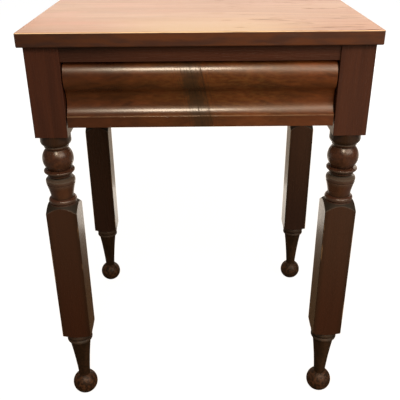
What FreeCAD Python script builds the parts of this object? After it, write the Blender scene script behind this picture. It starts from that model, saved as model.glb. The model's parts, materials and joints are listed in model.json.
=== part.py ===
"""Tavern table with one drawer, as a parametric FreeCAD document.

Millimetres. +Z is up and -Y is the front, where the drawer opens.
The origin is on the floor, under the middle of the top.
"""
import FreeCAD
import Part
import Sketcher
import math
import operator
import os
from types import SimpleNamespace

# Driving dimensions: alias, value in mm (or a count or share), what it measures
SIZES = (
    ("table_height", 730, "floor to the upper face of the top"),
    ("top_width", 548, "top, left to right"),
    ("top_depth", 476, "top, front to back"),
    ("top_thickness", 22, "top board"),
    ("top_overhang", 8, "top past the faces of the legs, all round"),
    ("top_edge_round", 2, "rounding of the top's edges"),
    ("leg_stock", 53, "square stock of each leg"),
    ("leg_arris", 1.2, "softened corner of the square parts of a leg"),
    ("stile_drop", 17, "square upper part of a leg, below the aprons"),
    ("collar_radius", 25.4, "drum below the stile"),
    ("collar_drum", 10, "straight part of the drum"),
    ("collar_round", 10, "quarter round under the drum"),
    ("fillet_radius", 20.5, "thin rings above the ball and under the saucer"),
    ("fillet_height", 2.5, "height of those rings"),
    ("notch_height", 4.2, "V between the upper ring and the ball"),
    ("ball_radius", 26, "large ball"),
    ("ball_neck_radius", 18.5, "where the ball meets its neighbours"),
    ("saucer_radius", 25.2, "flared ring under the ball"),
    ("saucer_dish", 1.5, "fall of the ring's upper face"),
    ("saucer_lip", 3.3, "thickness of the ring's lip"),
    ("saucer_under", 4.2, "height of the ring's underside"),
    ("lip_swell", 0.6, "rounding of the lip and of the urn's rim"),
    ("urn_neck_radius", 17.5, "narrow neck above the urn"),
    ("urn_neck_height", 4.3, "height of that neck"),
    ("urn_bevel", 3, "height of the slope from neck to rim"),
    ("urn_rim_radius", 24.9, "rim of the urn"),
    ("urn_rim_height", 6.5, "height of the rim"),
    ("incision_depth", 1.2, "depth of the turned lines"),
    ("incision_width", 1.8, "width of the turned lines"),
    ("urn_height", 26, "tapering body of the urn"),
    ("urn_hollow", 0.6, "how hollow the urn's side is"),
    ("urn_foot_radius", 18.8, "foot of the urn"),
    ("bead_radius", 24, "bead between the urn and the block"),
    ("bead_round", 2.5, "how far the bead swells"),
    ("bead_height", 8.6, "height of that bead"),
    ("bead_step", 0.9, "small step above the bead"),
    ("pommel_height", 14.4, "slope from the bead to the corners of the block"),
    ("pommel_swell", 1, "how full that slope is"),
    ("block_share", 0.622, "long square part of a leg, of the height of its upper end"),
    ("foot_shoulder", 5, "slope under the block"),
    ("foot_collar_radius", 22.4, "two beads under the block"),
    ("upper_bead_height", 11, "upper of the two"),
    ("lower_bead_height", 7.5, "lower of the two"),
    ("foot_bead_swell", 2.4, "how far the two beads swell"),
    ("taper_hollow", 1, "how hollow the ankle's taper is"),
    ("ankle_radius", 10.8, "thinnest part, above the foot"),
    ("foot_radius", 24.3, "ball foot"),
    ("foot_flat_radius", 9, "flat that stands on the floor"),
    ("apron_height", 128, "side and back aprons, and the drawer front's lower edge"),
    ("apron_thickness", 20, "side and back aprons"),
    ("apron_setback", 2, "aprons behind the faces of the legs"),
    ("tenon_length", 22, "tenons of the aprons and of the lower rail"),
    ("tenon_thickness", 8, "tenons of the aprons and of the lower rail"),
    ("tenon_shoulder", 8, "above and below the apron tenons"),
    ("rail_tenon_shoulder", 4, "at the edges of the lower rail's tenons"),
    ("mortise_room", 1, "spare depth at the end of a mortise or groove"),
    ("top_rail_height", 24, "rail above the drawer"),
    ("rail_setback", 3, "rail above the drawer behind the faces of the stiles"),
    ("top_rail_depth", 40, "back of that rail behind the faces of the stiles"),
    ("key_length", 20, "dovetail key of the top rail"),
    ("key_thickness", 12, "dovetail key of the top rail"),
    ("key_neck", 16, "narrow end of the key"),
    ("key_flare", 4, "widening of the key on each side"),
    ("lower_rail_thickness", 16, "rail and runners under the drawer"),
    ("lower_rail_lift", 2, "their underside above the lower edge of the aprons"),
    ("stop_gap", 0.5, "between the closed drawer front and the lower rail"),
    ("runner_reach", 23, "runners and kickers past the stiles, under and over the drawer"),
    ("tongue_length", 8, "stub tenons of the runners"),
    ("tongue_thickness", 6, "stub tenons of the runners"),
    ("tongue_shoulder", 4, "beside the stub tenons of the runners"),
    ("guide_height", 20, "guides beside the drawer"),
    ("drawer_side_gap", 2, "drawer front to each stile"),
    ("drawer_top_gap", 2.5, "drawer front to the top rail"),
    ("drawer_front_thickness", 29.5, "drawer front at its crest"),
    ("crest_proud", 1.5, "crest of the drawer front before the faces of the stiles"),
    ("strip_height", 18, "flat strip along the lower edge of the drawer front"),
    ("strip_setback", 1, "strip behind the crest"),
    ("ogee_top_setback", 13, "upper edge of the drawer front behind the crest"),
    ("cove_depth", 13.5, "hollow of the drawer front behind the crest"),
    ("crest_share", 0.288, "crest below the upper edge, of the moulded height"),
    ("cove_share", 0.724, "deepest line below the upper edge, of the moulded height"),
    ("veneer_thickness", 1, "figured veneer on the drawer front"),
    ("drawer_side_thickness", 11, "drawer sides"),
    ("drawer_side_drop", 1.5, "drawer sides below the upper edge of the front"),
    ("drawer_back_thickness", 11, "drawer back"),
    ("drawer_back_drop", 4, "drawer back below the sides"),
    ("drawer_back_room", 10, "closed drawer to the back apron"),
    ("panel_thickness", 7, "drawer bottom"),
    ("panel_lift", 6, "drawer bottom above the lower edge of the sides"),
    ("panel_groove", 5, "depth of the grooves that hold the drawer bottom"),
    ("panel_room", 0.5, "drawer bottom short of the end of its grooves"),
    ("lap_length", 8, "dovetails into the drawer front"),
    ("tail_flare", 2, "widening of each dovetail on each side"),
    ("tail_share", 0.5, "narrow end of a dovetail, of the spacing"),
    ("tail_count", 3, "dovetails at each corner of the drawer"),
    ("screw_radius", 2.2, "screws that hold the top"),
    ("screw_head_radius", 4.2, "their heads"),
    ("screw_head_height", 2.5, "their heads"),
    ("screw_bite", 14, "screws into the top"),
    ("screw_sink", 6, "depth of the holes that hide the heads"),
    ("hole_clearance", 0.3, "round holes for screws and nails"),
    ("screw_spread_share", 0.5, "screws from the middle, of half the rail or kicker"),
    ("nail_radius", 1.3, "nails through the drawer bottom"),
    ("nail_length", 24, "nails through the drawer bottom"),
    ("nail_spread_share", 0.7, "outer nails from the middle, of half the drawer"),
    ("glue_block_section", 20, "blocks rubbed into the corner under the top"),
    ("glue_block_share", 0.32, "length of a block, of half the space between the kickers"),
    ("glue_pitch_share", 0.63, "spacing of the blocks, of half that space"),
)
AXIS_OF_PLANE = {"XY_Plane": 1, "XZ_Plane": -1, "YZ_Plane": 1}
SIDES = (("left", -1), ("right", 1))


class Size:
    """A length that keeps its number and the expression that a property is bound to."""

    def __init__(self, text, number):
        self.text = text
        self.number = number

    def __add__(self, other):
        return joined(self, "+", other, operator.add)

    def __sub__(self, other):
        return joined(self, "-", other, operator.sub)

    def __mul__(self, other):
        return joined(self, "*", other, operator.mul)

    def __rmul__(self, other):
        return joined(other, "*", self, operator.mul)

    def __truediv__(self, other):
        return joined(self, "/", other, operator.truediv)

    def __neg__(self):
        return joined(0, "-", self, operator.sub)


class Through(tuple):
    """A point inside an outline: the edge between its neighbours is the arc through it."""


def as_size(value):
    return value if isinstance(value, Size) else Size(f"({value!r})", value)


def joined(left, sign, right, act):
    left, right = as_size(left), as_size(right)
    return Size(f"({left.text} {sign} {right.text})", act(left.number, right.number))


def root(value):
    return Size(f"sqrt({value.text})", math.sqrt(value.number))


def middle(a, b):
    return (a + b) / 2


# The document and its sheet of sizes
doc = FreeCAD.newDocument("TavernTable")
sheet = doc.addObject("Spreadsheet::Sheet", "Sizes")
for row, (alias, value, meaning) in enumerate(SIZES, start=1):
    sheet.set(f"A{row}", meaning)
    sheet.set(f"B{row}", str(value))
    sheet.setAlias(f"B{row}", alias)
doc.recompute()
S = SimpleNamespace(**{alias: Size(f"Sizes.{alias}", value) for alias, value, _ in SIZES})

# Places that several pieces share
leg_top = S.table_height - S.top_thickness
leg_half = S.leg_stock / 2
corner_radius = leg_half * root(as_size(2))
case_x = S.top_width / 2 - S.top_overhang
case_y = S.top_depth / 2 - S.top_overhang
leg_x = case_x - leg_half
leg_y = case_y - leg_half
opening_x = case_x - S.leg_stock
opening_y = case_y - S.leg_stock
apron_bottom = leg_top - S.apron_height
apron_out_x = case_x - S.apron_setback
apron_in_x = apron_out_x - S.apron_thickness
apron_out_y = case_y - S.apron_setback
apron_in_y = apron_out_y - S.apron_thickness
cheek = (S.apron_thickness - S.tenon_thickness) / 2
top_rail_bottom = leg_top - S.top_rail_height
top_rail_back = S.top_rail_depth - case_y
lower_rail_bottom = apron_bottom + S.lower_rail_lift
runner_top = lower_rail_bottom + S.lower_rail_thickness
crest_y = case_y + S.crest_proud
front_back = S.drawer_front_thickness - crest_y
lower_rail_front = front_back + S.stop_gap
runner_in_x = opening_x - S.runner_reach
drawer_x = opening_x - S.drawer_side_gap
drawer_top = top_rail_bottom - S.drawer_top_gap
side_in_x = drawer_x - S.drawer_side_thickness
side_top = drawer_top - S.drawer_side_drop
drawer_rear = apron_in_y - S.drawer_back_room
back_front = drawer_rear - S.drawer_back_thickness
panel_bottom = runner_top + S.panel_lift
panel_top = panel_bottom + S.panel_thickness
back_top = side_top - S.drawer_back_drop
strip_top = apron_bottom + S.strip_height
strip_face = S.strip_setback - crest_y


def tongue_levels():
    """Lower and upper faces of the stub tenons of the runners."""
    spare = (S.lower_rail_thickness - S.tongue_thickness) / 2
    return lower_rail_bottom + spare, runner_top - spare


def rail_tenon():
    """Front, back, lower and upper faces of the lower rail's tenons."""
    spare = (S.lower_rail_thickness - S.tenon_thickness) / 2
    front = lower_rail_front + S.rail_tenon_shoulder
    back = -opening_y - S.rail_tenon_shoulder
    return front, back, lower_rail_bottom + spare, runner_top - spare


# Helpers for bodies, sketches and features
def new_body(label):
    body = doc.addObject("PartDesign::Body", label)
    body.Label = label
    return body


def box_path(low_u, high_u, low_v, high_v):
    return [(low_u, low_v), (high_u, low_v), (high_u, high_v), (low_u, high_v)]


def point(pair):
    return FreeCAD.Vector(pair[0].number, pair[1].number, 0)


def pins(geometry, position, pair):
    """Constraints that hold a point in place, each with the expression it is bound to."""
    kinds = zip(("DistanceX", "DistanceY"), pair)
    return [(Sketcher.Constraint(kind, geometry, position, size.number), size.text) for kind, size in kinds]


def bind(sketch, constraints):
    """Adds constraints in one go, then binds those that have an expression."""
    first = sketch.ConstraintCount
    sketch.addConstraint([constraint for constraint, _ in constraints])
    for index, (_, text) in enumerate(constraints, start=first):
        if text:
            sketch.setExpression(f"Constraints[{index}]", text)


def draw_edge(sketch, start, arc_point, end):
    """Adds a line or arc: its number, the positions of its two ends, and its constraints."""
    if arc_point is None:
        return sketch.addGeometry(Part.LineSegment(point(start), point(end)), False), 1, 2, []
    edge = sketch.addGeometry(Part.Arc(point(start), point(arc_point), point(end)), False)
    guide = sketch.addGeometry(Part.Point(point(arc_point)), True)
    on_edge = Sketcher.Constraint("PointOnObject", guide, 1, edge)
    constraints = pins(guide, 1, arc_point) + [(on_edge, None)]
    reach = [sketch.getPoint(edge, position).distanceToPoint(point(start)) for position in (1, 2)]
    ends = (1, 2) if reach[0] < reach[1] else (2, 1)
    return edge, *ends, constraints


def draw_outline(sketch, path):
    """Draws one closed outline and binds each of its corners."""
    corners = [entry for entry in path if not isinstance(entry, Through)]
    edges = []
    for place, start in enumerate(path):
        if isinstance(start, Through):
            continue
        following = path[(place + 1) % len(path)]
        arc_point = following if isinstance(following, Through) else None
        end = path[(place + 2) % len(path)] if arc_point else following
        edges.append(draw_edge(sketch, start, arc_point, end))
    constraints = []
    for before, edge, corner in zip(edges[-1:] + edges[:-1], edges, corners):
        joint = Sketcher.Constraint("Coincident", before[0], before[2], edge[0], edge[1])
        constraints += [(joint, None)] + pins(edge[0], edge[1], corner) + edge[3]
    bind(sketch, constraints)


def new_sketch(body, name, role, level):
    """A sketch parallel to one of the body's origin planes, at a level along the plane's axis."""
    sketch = body.newObject("Sketcher::SketchObject", f"{body.Label}_{name}")
    plane = next(item for item in body.Origin.OriginFeatures if item.Role == role)
    sketch.AttachmentSupport = [(plane, "")]
    sketch.MapMode = "FlatFace"
    sketch.setExpression("AttachmentOffset.Base.z", (AXIS_OF_PLANE[role] * level).text)
    return sketch


def sketch_of(body, name, role, level, *paths):
    sketch = new_sketch(body, name, role, level)
    for path in paths:
        draw_outline(sketch, path)
    doc.recompute()
    return sketch


def circles_of(body, name, level, centres, radius):
    """A sketch of equal circles on a horizontal plane."""
    sketch = new_sketch(body, name, "XY_Plane", level)
    for centre in centres:
        circle = Part.Circle(point(centre), FreeCAD.Vector(0, 0, 1), radius.number)
        edge = sketch.addGeometry(circle, False)
        width = Sketcher.Constraint("Radius", edge, radius.number)
        bind(sketch, pins(edge, 3, centre) + [(width, radius.text)])
    doc.recompute()
    return sketch


def normal_sign(sketch):
    return AXIS_OF_PLANE[sketch.AttachmentSupport[0][0].Role]


def pad(body, sketch, length, towards):
    """Adds material from the sketch along its plane's axis, up (1) or down (-1)."""
    feature = body.newObject("PartDesign::Pad", f"{sketch.Name}_pad")
    feature.Profile = sketch
    feature.setExpression("Length", length.text)
    feature.Reversed = towards * normal_sign(sketch) < 0
    doc.recompute()
    return feature


def remove(body, feature, before):
    """Recomputes a cutting feature and makes sure that it cut something."""
    doc.recompute()
    if body.Shape.isNull() or body.Shape.Volume >= before:
        raise RuntimeError(f"{feature.Name} cuts nothing")


def pocket(body, sketch, depth, towards):
    """Removes material from the sketch along its plane's axis, up (1) or down (-1)."""
    before = body.Shape.Volume
    feature = body.newObject("PartDesign::Pocket", f"{sketch.Name}_pocket")
    feature.Profile = sketch
    feature.setExpression("Length", depth.text)
    feature.Reversed = towards * normal_sign(sketch) > 0
    remove(body, feature, before)


def turn(body, name, path):
    """Turns a body about its own upright axis: the path bounds what the lathe takes away."""
    sketch = sketch_of(body, name, "XZ_Plane", as_size(0), path)
    before = body.Shape.Volume
    feature = body.newObject("PartDesign::Groove", f"{sketch.Name}_groove")
    feature.Profile = sketch
    feature.ReferenceAxis = (sketch, ["V_Axis"])
    remove(body, feature, before)


def round_edges(body, base, edges, radius):
    feature = body.newObject("PartDesign::Fillet", f"{base.Name}_round")
    feature.Base = (base, edges)
    feature.setExpression("Radius", radius.text)
    doc.recompute()


def long_edges(shape, length):
    """Names of the edges of a shape that are longer than a length."""
    edges = enumerate(shape.Edges, start=1)
    return [f"Edge{number}" for number, edge in edges if edge.Length > length.number]


def on_arc(low, high, swell):
    """The middle of an edge between two points, pushed away from the leg's axis by swell."""
    return Through((middle(low[0], high[0]) + swell, middle(low[1], high[1])))


# Legs
def upper_turning():
    """Profile between the stile and the block, as radius and height, from the top down."""
    stile = apron_bottom - S.stile_drop
    drum = stile - S.collar_drum
    ring = drum - S.collar_round
    notch = ring - S.fillet_height
    rise = root(S.ball_radius * S.ball_radius - S.ball_neck_radius * S.ball_neck_radius)
    ball_top = notch - S.notch_height
    ball = ball_top - rise
    ball_bottom = ball - rise
    lip = ball_bottom - S.saucer_dish
    under = lip - S.saucer_lip
    saucer = under - S.saucer_under
    neck = saucer - S.fillet_height
    bevel = neck - S.urn_neck_height
    rim = bevel - S.urn_bevel
    line = rim - S.urn_rim_height
    body = line - S.incision_width
    urn_foot = body - S.urn_height
    bead = urn_foot - S.bead_step
    pommel = bead - S.bead_height
    block = pommel - S.pommel_height
    quarter = (S.collar_radius - S.fillet_radius) * (root(as_size(2)) / 2)
    quarter_fall = S.collar_round * (root(as_size(2)) / 2)
    rim_edge = (S.urn_rim_radius - S.lip_swell, rim)
    line_edge = (S.urn_rim_radius - S.lip_swell, line)
    urn_edge = (S.urn_rim_radius - S.lip_swell, body)
    foot_edge = (S.urn_foot_radius, urn_foot)
    bead_edge = (S.bead_radius - S.bead_round, bead)
    pommel_edge = (S.bead_radius - S.bead_round, pommel)
    block_edge = (corner_radius, block)
    path = [
        (S.leg_stock, stile),
        (S.collar_radius, stile),
        (S.collar_radius, drum),
        Through((S.fillet_radius + quarter, drum - quarter_fall)),
        (S.fillet_radius, ring),
        (S.fillet_radius, notch),
        (S.ball_neck_radius, ball_top),
        Through((S.ball_radius, ball)),
        (S.ball_neck_radius, ball_bottom),
        (S.saucer_radius, lip),
        Through((S.saucer_radius + S.lip_swell, middle(lip, under))),
        (S.saucer_radius, under),
        (S.fillet_radius, saucer),
        (S.fillet_radius, neck),
        (S.urn_neck_radius, neck),
        (S.urn_neck_radius, bevel),
        rim_edge,
        on_arc(rim_edge, line_edge, S.lip_swell),
        line_edge,
        (line_edge[0] - S.incision_depth, middle(line, body)),
        urn_edge,
        on_arc(urn_edge, foot_edge, -S.urn_hollow),
        foot_edge,
        bead_edge,
        on_arc(bead_edge, pommel_edge, S.bead_round),
        pommel_edge,
        on_arc(pommel_edge, block_edge, S.pommel_swell),
        block_edge,
        (S.leg_stock, block),
    ]
    return path, block


def foot_turning(block_top):
    """Profile from the block to the floor, as radius and height, from the top down."""
    block = block_top - block_top * S.block_share
    upper = block - S.foot_shoulder
    line = upper - S.upper_bead_height
    lower = line - S.incision_width
    second = lower - S.lower_bead_height
    taper = second - S.incision_width
    flat = S.foot_flat_radius
    centre = root(S.foot_radius * S.foot_radius - flat * flat)
    rise = root(S.foot_radius * S.foot_radius - S.ankle_radius * S.ankle_radius)
    upper_edge = (S.foot_collar_radius, upper)
    line_edge = (S.foot_collar_radius, line)
    lower_edge = (S.foot_collar_radius, lower)
    second_edge = (S.foot_collar_radius - S.foot_bead_swell / 2, second)
    taper_edge = (second_edge[0] - S.incision_depth, taper)
    ankle_edge = (S.ankle_radius, centre + rise)
    return [
        (S.leg_stock, block),
        (corner_radius, block),
        upper_edge,
        on_arc(upper_edge, line_edge, S.foot_bead_swell),
        line_edge,
        (line_edge[0] - S.incision_depth, middle(line, lower)),
        lower_edge,
        on_arc(lower_edge, second_edge, S.foot_bead_swell),
        second_edge,
        (taper_edge[0] - S.incision_depth, middle(second, taper)),
        taper_edge,
        on_arc(taper_edge, ankle_edge, -S.taper_hollow),
        ankle_edge,
        Through((S.foot_radius, centre)),
        (flat, as_size(0)),
        (S.leg_stock, as_size(0)),
    ]


def side_apron_mortise(leg, out_x, out_y):
    """Mortise for the side apron, in the leg's face towards the other leg of that side."""
    outer = out_x * (leg_half - S.apron_setback - cheek)
    inner = outer - out_x * S.tenon_thickness
    levels = (apron_bottom + S.tenon_shoulder, leg_top - S.tenon_shoulder)
    face = -out_y * leg_half
    sketch = sketch_of(leg, "side_mortise", "XZ_Plane", face, box_path(inner, outer, *levels))
    pocket(leg, sketch, S.tenon_length + S.mortise_room, out_y)


def back_apron_mortise(leg, out_x):
    """Mortise for the back apron, in a rear leg's face towards the other rear leg."""
    outer = leg_half - S.apron_setback - cheek
    inner = outer - S.tenon_thickness
    levels = (apron_bottom + S.tenon_shoulder, leg_top - S.tenon_shoulder)
    face = -out_x * leg_half
    sketch = sketch_of(leg, "back_mortise", "YZ_Plane", face, box_path(inner, outer, *levels))
    pocket(leg, sketch, S.tenon_length + S.mortise_room, out_x)


def lower_rail_mortise(leg, out_x):
    """Mortise for the rail under the drawer, in a front leg."""
    front, back, low, high = rail_tenon()
    face = -out_x * leg_half
    outline = box_path(front + leg_y, back + leg_y, low, high)
    sketch = sketch_of(leg, "rail_mortise", "YZ_Plane", face, outline)
    pocket(leg, sketch, S.tenon_length + S.mortise_room, out_x)


def key_outline(shoulder, out_x, centre_y):
    """Plan of a dovetail key that runs outwards from a shoulder of the top rail."""
    narrow = S.key_neck / 2
    wide = narrow + S.key_flare
    end = shoulder + out_x * S.key_length
    return [
        (shoulder, centre_y - narrow),
        (end, centre_y - wide),
        (end, centre_y + wide),
        (shoulder, centre_y + narrow),
    ]


def key_socket(leg, out_x):
    """Socket for the top rail's dovetail key, open at the top of a front leg."""
    centre = S.top_rail_depth / 2 - leg_half
    outline = key_outline(-out_x * leg_half, out_x, centre)
    sketch = sketch_of(leg, "key_socket", "XY_Plane", leg_top, outline)
    pocket(leg, sketch, S.key_thickness, -1)


def build_leg(label, out_x, out_y):
    """A turned leg about its own axis, moved to its corner; out_x and out_y point outwards."""
    leg = new_body(label)
    square = box_path(-leg_half, leg_half, -leg_half, leg_half)
    stock = pad(leg, sketch_of(leg, "stock", "XY_Plane", as_size(0), square), leg_top, 1)
    round_edges(leg, stock, long_edges(stock.Shape, S.leg_stock * 2), S.leg_arris)
    path, block_top = upper_turning()
    turn(leg, "upper_turning", path)
    turn(leg, "foot_turning", foot_turning(block_top))
    side_apron_mortise(leg, out_x, out_y)
    if out_y > 0:
        back_apron_mortise(leg, out_x)
    else:
        lower_rail_mortise(leg, out_x)
        key_socket(leg, out_x)
    leg.setExpression("Placement.Base.x", (out_x * leg_x).text)
    leg.setExpression("Placement.Base.y", (out_y * leg_y).text)
    return leg


# Aprons and rails
def build_side_apron(label, side):
    """Board between a front and a rear leg, with a tenon at each end."""
    apron = new_body(label)
    levels = (apron_bottom, leg_top)
    board = box_path(-opening_y, opening_y, *levels)
    sketch = sketch_of(apron, "board", "YZ_Plane", side * apron_in_x, board)
    pad(apron, sketch, S.apron_thickness, side)
    reach = opening_y + S.tenon_length
    tenon = box_path(-reach, reach, apron_bottom + S.tenon_shoulder, leg_top - S.tenon_shoulder)
    sketch = sketch_of(apron, "tenon", "YZ_Plane", side * (apron_in_x + cheek), tenon)
    pad(apron, sketch, S.tenon_thickness, side)
    return apron


def tongue_plan(side):
    """Left and right edges of the stub tenons of a runner, in order."""
    near = side * (runner_in_x + S.tongue_shoulder)
    far = side * (opening_x - S.tongue_shoulder)
    return (near, far) if side > 0 else (far, near)


def build_back_apron():
    """Board between the rear legs, with stub mortises for the runners."""
    apron = new_body("apron_back")
    board = box_path(-opening_x, opening_x, apron_bottom, leg_top)
    sketch = sketch_of(apron, "board", "XZ_Plane", apron_in_y, board)
    pad(apron, sketch, S.apron_thickness, 1)
    reach = opening_x + S.tenon_length
    tenon = box_path(-reach, reach, apron_bottom + S.tenon_shoulder, leg_top - S.tenon_shoulder)
    sketch = sketch_of(apron, "tenon", "XZ_Plane", apron_in_y + cheek, tenon)
    pad(apron, sketch, S.tenon_thickness, 1)
    stubs = [box_path(*tongue_plan(side), *tongue_levels()) for _, side in SIDES]
    sketch = sketch_of(apron, "runner_mortises", "XZ_Plane", apron_in_y, *stubs)
    pocket(apron, sketch, S.tongue_length + S.mortise_room, 1)
    return apron


def rail_screw_places():
    spread = opening_x * S.screw_spread_share
    centre = top_rail_back - S.top_rail_depth / 2
    return [(-spread, centre), (spread, centre)]


def screw_holes(body, places):
    """Holes for the top's screws through a rail or kicker, wider below to hide the heads."""
    sketch = circles_of(body, "holes", top_rail_bottom, places, S.screw_radius + S.hole_clearance)
    pocket(body, sketch, S.top_rail_height, 1)
    wide = S.screw_head_radius + S.hole_clearance
    sketch = circles_of(body, "sinks", top_rail_bottom, places, wide)
    pocket(body, sketch, S.screw_sink, 1)


def build_top_rail():
    """Rail above the drawer, keyed into the tops of the front legs with dovetails."""
    rail = new_body("top_rail")
    board = box_path(-opening_x, opening_x, S.rail_setback - case_y, top_rail_back)
    sketch = sketch_of(rail, "board", "XY_Plane", top_rail_bottom, board)
    pad(rail, sketch, S.top_rail_height, 1)
    centre = top_rail_back - S.top_rail_depth / 2
    keys = [key_outline(side * opening_x, side, centre) for _, side in SIDES]
    sketch = sketch_of(rail, "keys", "XY_Plane", leg_top, *keys)
    pad(rail, sketch, S.key_thickness, -1)
    screw_holes(rail, rail_screw_places())
    return rail


def build_lower_rail():
    """Rail under the drawer, hidden by the strip of the drawer front and stopping it."""
    rail = new_body("lower_rail")
    board = box_path(-opening_x, opening_x, lower_rail_front, -opening_y)
    sketch = sketch_of(rail, "board", "XY_Plane", lower_rail_bottom, board)
    pad(rail, sketch, S.lower_rail_thickness, 1)
    front, back, low, _ = rail_tenon()
    reach = opening_x + S.tenon_length
    sketch = sketch_of(rail, "tenon", "XY_Plane", low, box_path(-reach, reach, front, back))
    pad(rail, sketch, S.tenon_thickness, 1)
    stubs = [box_path(*tongue_plan(side), *tongue_levels()) for _, side in SIDES]
    sketch = sketch_of(rail, "runner_mortises", "XZ_Plane", -opening_y, *stubs)
    pocket(rail, sketch, S.tongue_length + S.mortise_room, -1)
    return rail


# What the drawer runs on, in and under
def strip_plan(side):
    """Plan of a runner or kicker, from the front legs to the back apron, notched round a rear leg."""
    inner = side * runner_in_x
    stile = side * opening_x
    outer = side * apron_in_x
    return [
        (inner, -opening_y),
        (outer, -opening_y),
        (outer, opening_y),
        (stile, opening_y),
        (stile, apron_in_y),
        (inner, apron_in_y),
    ]


def build_runner(label, side):
    """Runner that carries one side of the drawer, stub-tenoned at both ends."""
    runner = new_body(label)
    sketch = sketch_of(runner, "plan", "XY_Plane", lower_rail_bottom, strip_plan(side))
    pad(runner, sketch, S.lower_rail_thickness, 1)
    low, _ = tongue_levels()
    reach = (-opening_y - S.tongue_length, apron_in_y + S.tongue_length)
    tongue = box_path(*tongue_plan(side), *reach)
    sketch = sketch_of(runner, "tongue", "XY_Plane", low, tongue)
    pad(runner, sketch, S.tongue_thickness, 1)
    return runner


def build_guide(label, side):
    """Strip on a runner that keeps the drawer from moving sideways."""
    guide = new_body(label)
    edges = (opening_x, apron_in_x) if side > 0 else (-apron_in_x, -opening_x)
    sketch = sketch_of(guide, "plan", "XY_Plane", runner_top, box_path(*edges, -opening_y, opening_y))
    pad(guide, sketch, S.guide_height, 1)
    return guide


def kicker_screw_places(side):
    across = side * middle(runner_in_x, opening_x)
    spread = opening_y * S.screw_spread_share
    return [(across, -spread), (across, spread)]


def build_kicker(label, side):
    """Strip above a drawer side that keeps the open drawer from tipping and holds the top."""
    kicker = new_body(label)
    sketch = sketch_of(kicker, "plan", "XY_Plane", top_rail_bottom, strip_plan(side))
    pad(kicker, sketch, S.top_rail_height, 1)
    edges = (runner_in_x, opening_x) if side > 0 else (-opening_x, -runner_in_x)
    nose = box_path(*edges, top_rail_back, -opening_y)
    sketch = sketch_of(kicker, "nose", "XY_Plane", top_rail_bottom, nose)
    pad(kicker, sketch, S.top_rail_height, 1)
    screw_holes(kicker, kicker_screw_places(side))
    return kicker


def build_glue_blocks():
    """Blocks rubbed into the corner between the back apron and the top."""
    length = runner_in_x * S.glue_block_share
    pitch = runner_in_x * S.glue_pitch_share
    blocks = []
    for number in (-1, 0, 1):
        block = doc.addObject("Part::Box", f"glue_block_{number + 2}")
        block.setExpression("Length", length.text)
        block.setExpression("Width", S.glue_block_section.text)
        block.setExpression("Height", S.glue_block_section.text)
        left = number * pitch - length / 2
        block.setExpression("Placement.Base.x", left.text)
        block.setExpression("Placement.Base.y", (apron_in_y - S.glue_block_section).text)
        block.setExpression("Placement.Base.z", (leg_top - S.glue_block_section).text)
        blocks.append(block)
    return group("glue_blocks", blocks)


# Top and its screws
def screw_places():
    return rail_screw_places() + kicker_screw_places(-1) + kicker_screw_places(1)


def build_top():
    """Top board with rounded edges and blind holes for the screws."""
    top = new_body("table_top")
    half_x = S.top_width / 2
    half_y = S.top_depth / 2
    sketch = sketch_of(top, "board", "XY_Plane", leg_top, box_path(-half_x, half_x, -half_y, half_y))
    board = pad(top, sketch, S.top_thickness, 1)
    edges = [f"Edge{number}" for number in range(1, len(board.Shape.Edges) + 1)]
    round_edges(top, board, edges, S.top_edge_round)
    wide = S.screw_radius + S.hole_clearance
    sketch = circles_of(top, "holes", leg_top, screw_places(), wide)
    pocket(top, sketch, S.screw_bite + S.mortise_room, 1)
    return top


def cylinder(name, place, level, radius, height):
    """An upright cylinder standing on a level."""
    solid = doc.addObject("Part::Cylinder", name)
    solid.setExpression("Radius", radius.text)
    solid.setExpression("Height", height.text)
    for axis, size in zip("xyz", (*place, level)):
        solid.setExpression(f"Placement.Base.{axis}", size.text)
    return solid


def group(label, members):
    """Equal pieces that share a node."""
    compound = doc.addObject("Part::Compound", label)
    compound.Label = label
    compound.Links = members
    return compound


def build_top_screws():
    """Screws driven up through the rail and the kickers into the top."""
    seat = top_rail_bottom + S.screw_sink
    screws = []
    for number, place in enumerate(screw_places(), start=1):
        head_level = seat - S.screw_head_height
        head = cylinder(f"screw_head_{number}", place, head_level, S.screw_head_radius, S.screw_head_height)
        length = leg_top + S.screw_bite - seat
        shank = cylinder(f"screw_shank_{number}", place, seat, S.screw_radius, length)
        screw = doc.addObject("Part::Fuse", f"screw_{number}")
        screw.Base = head
        screw.Tool = shank
        screws.append(screw)
    return group("top_screws", screws)


# Drawer
def half_way(rise, run):
    """Run of an arc at half its rise, where the arc starts along the rise."""
    radius = (rise * rise + run * run) / (run * 2)
    half = rise / 2
    return radius - root(radius * radius - half * half)


def ogee(skin):
    """Moulded face of the drawer front from its upper edge down to the strip, skin deep."""
    height = drawer_top - strip_top
    crest = drawer_top - height * S.crest_share
    cove = drawer_top - height * S.cove_share
    face = skin - crest_y
    turn_run = S.cove_depth / 2
    turn_rise = (crest - cove) / 2
    sweep = S.cove_depth - S.strip_setback
    upper = half_way(drawer_top - crest, S.ogee_top_setback)
    bend = half_way(turn_rise, turn_run)
    lower = half_way(cove - strip_top, sweep)
    return [
        (face + S.ogee_top_setback, drawer_top),
        Through((face + upper, middle(drawer_top, crest))),
        (face, crest),
        Through((face + bend, crest - turn_rise / 2)),
        (face + turn_run, crest - turn_rise),
        Through((face + S.cove_depth - bend, cove + turn_rise / 2)),
        (face + S.cove_depth, cove),
        Through((face + S.cove_depth - lower, middle(cove, strip_top))),
        (face + S.strip_setback, strip_top),
    ]


def tail_outlines(shoulder, length, low, high):
    """Dovetails of a drawer side that run from a shoulder, between two levels, from below."""
    pitch = (high - low) / S.tail_count
    narrow = pitch * S.tail_share / 2
    wide = narrow + S.tail_flare
    end = shoulder + length
    tails = []
    for number in range(int(S.tail_count.number)):
        centre = low + pitch * (number + 0.5)
        tails.append([
            (shoulder, centre - narrow),
            (end, centre - wide),
            (end, centre + wide),
            (shoulder, centre + narrow),
        ])
    return tails


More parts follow.
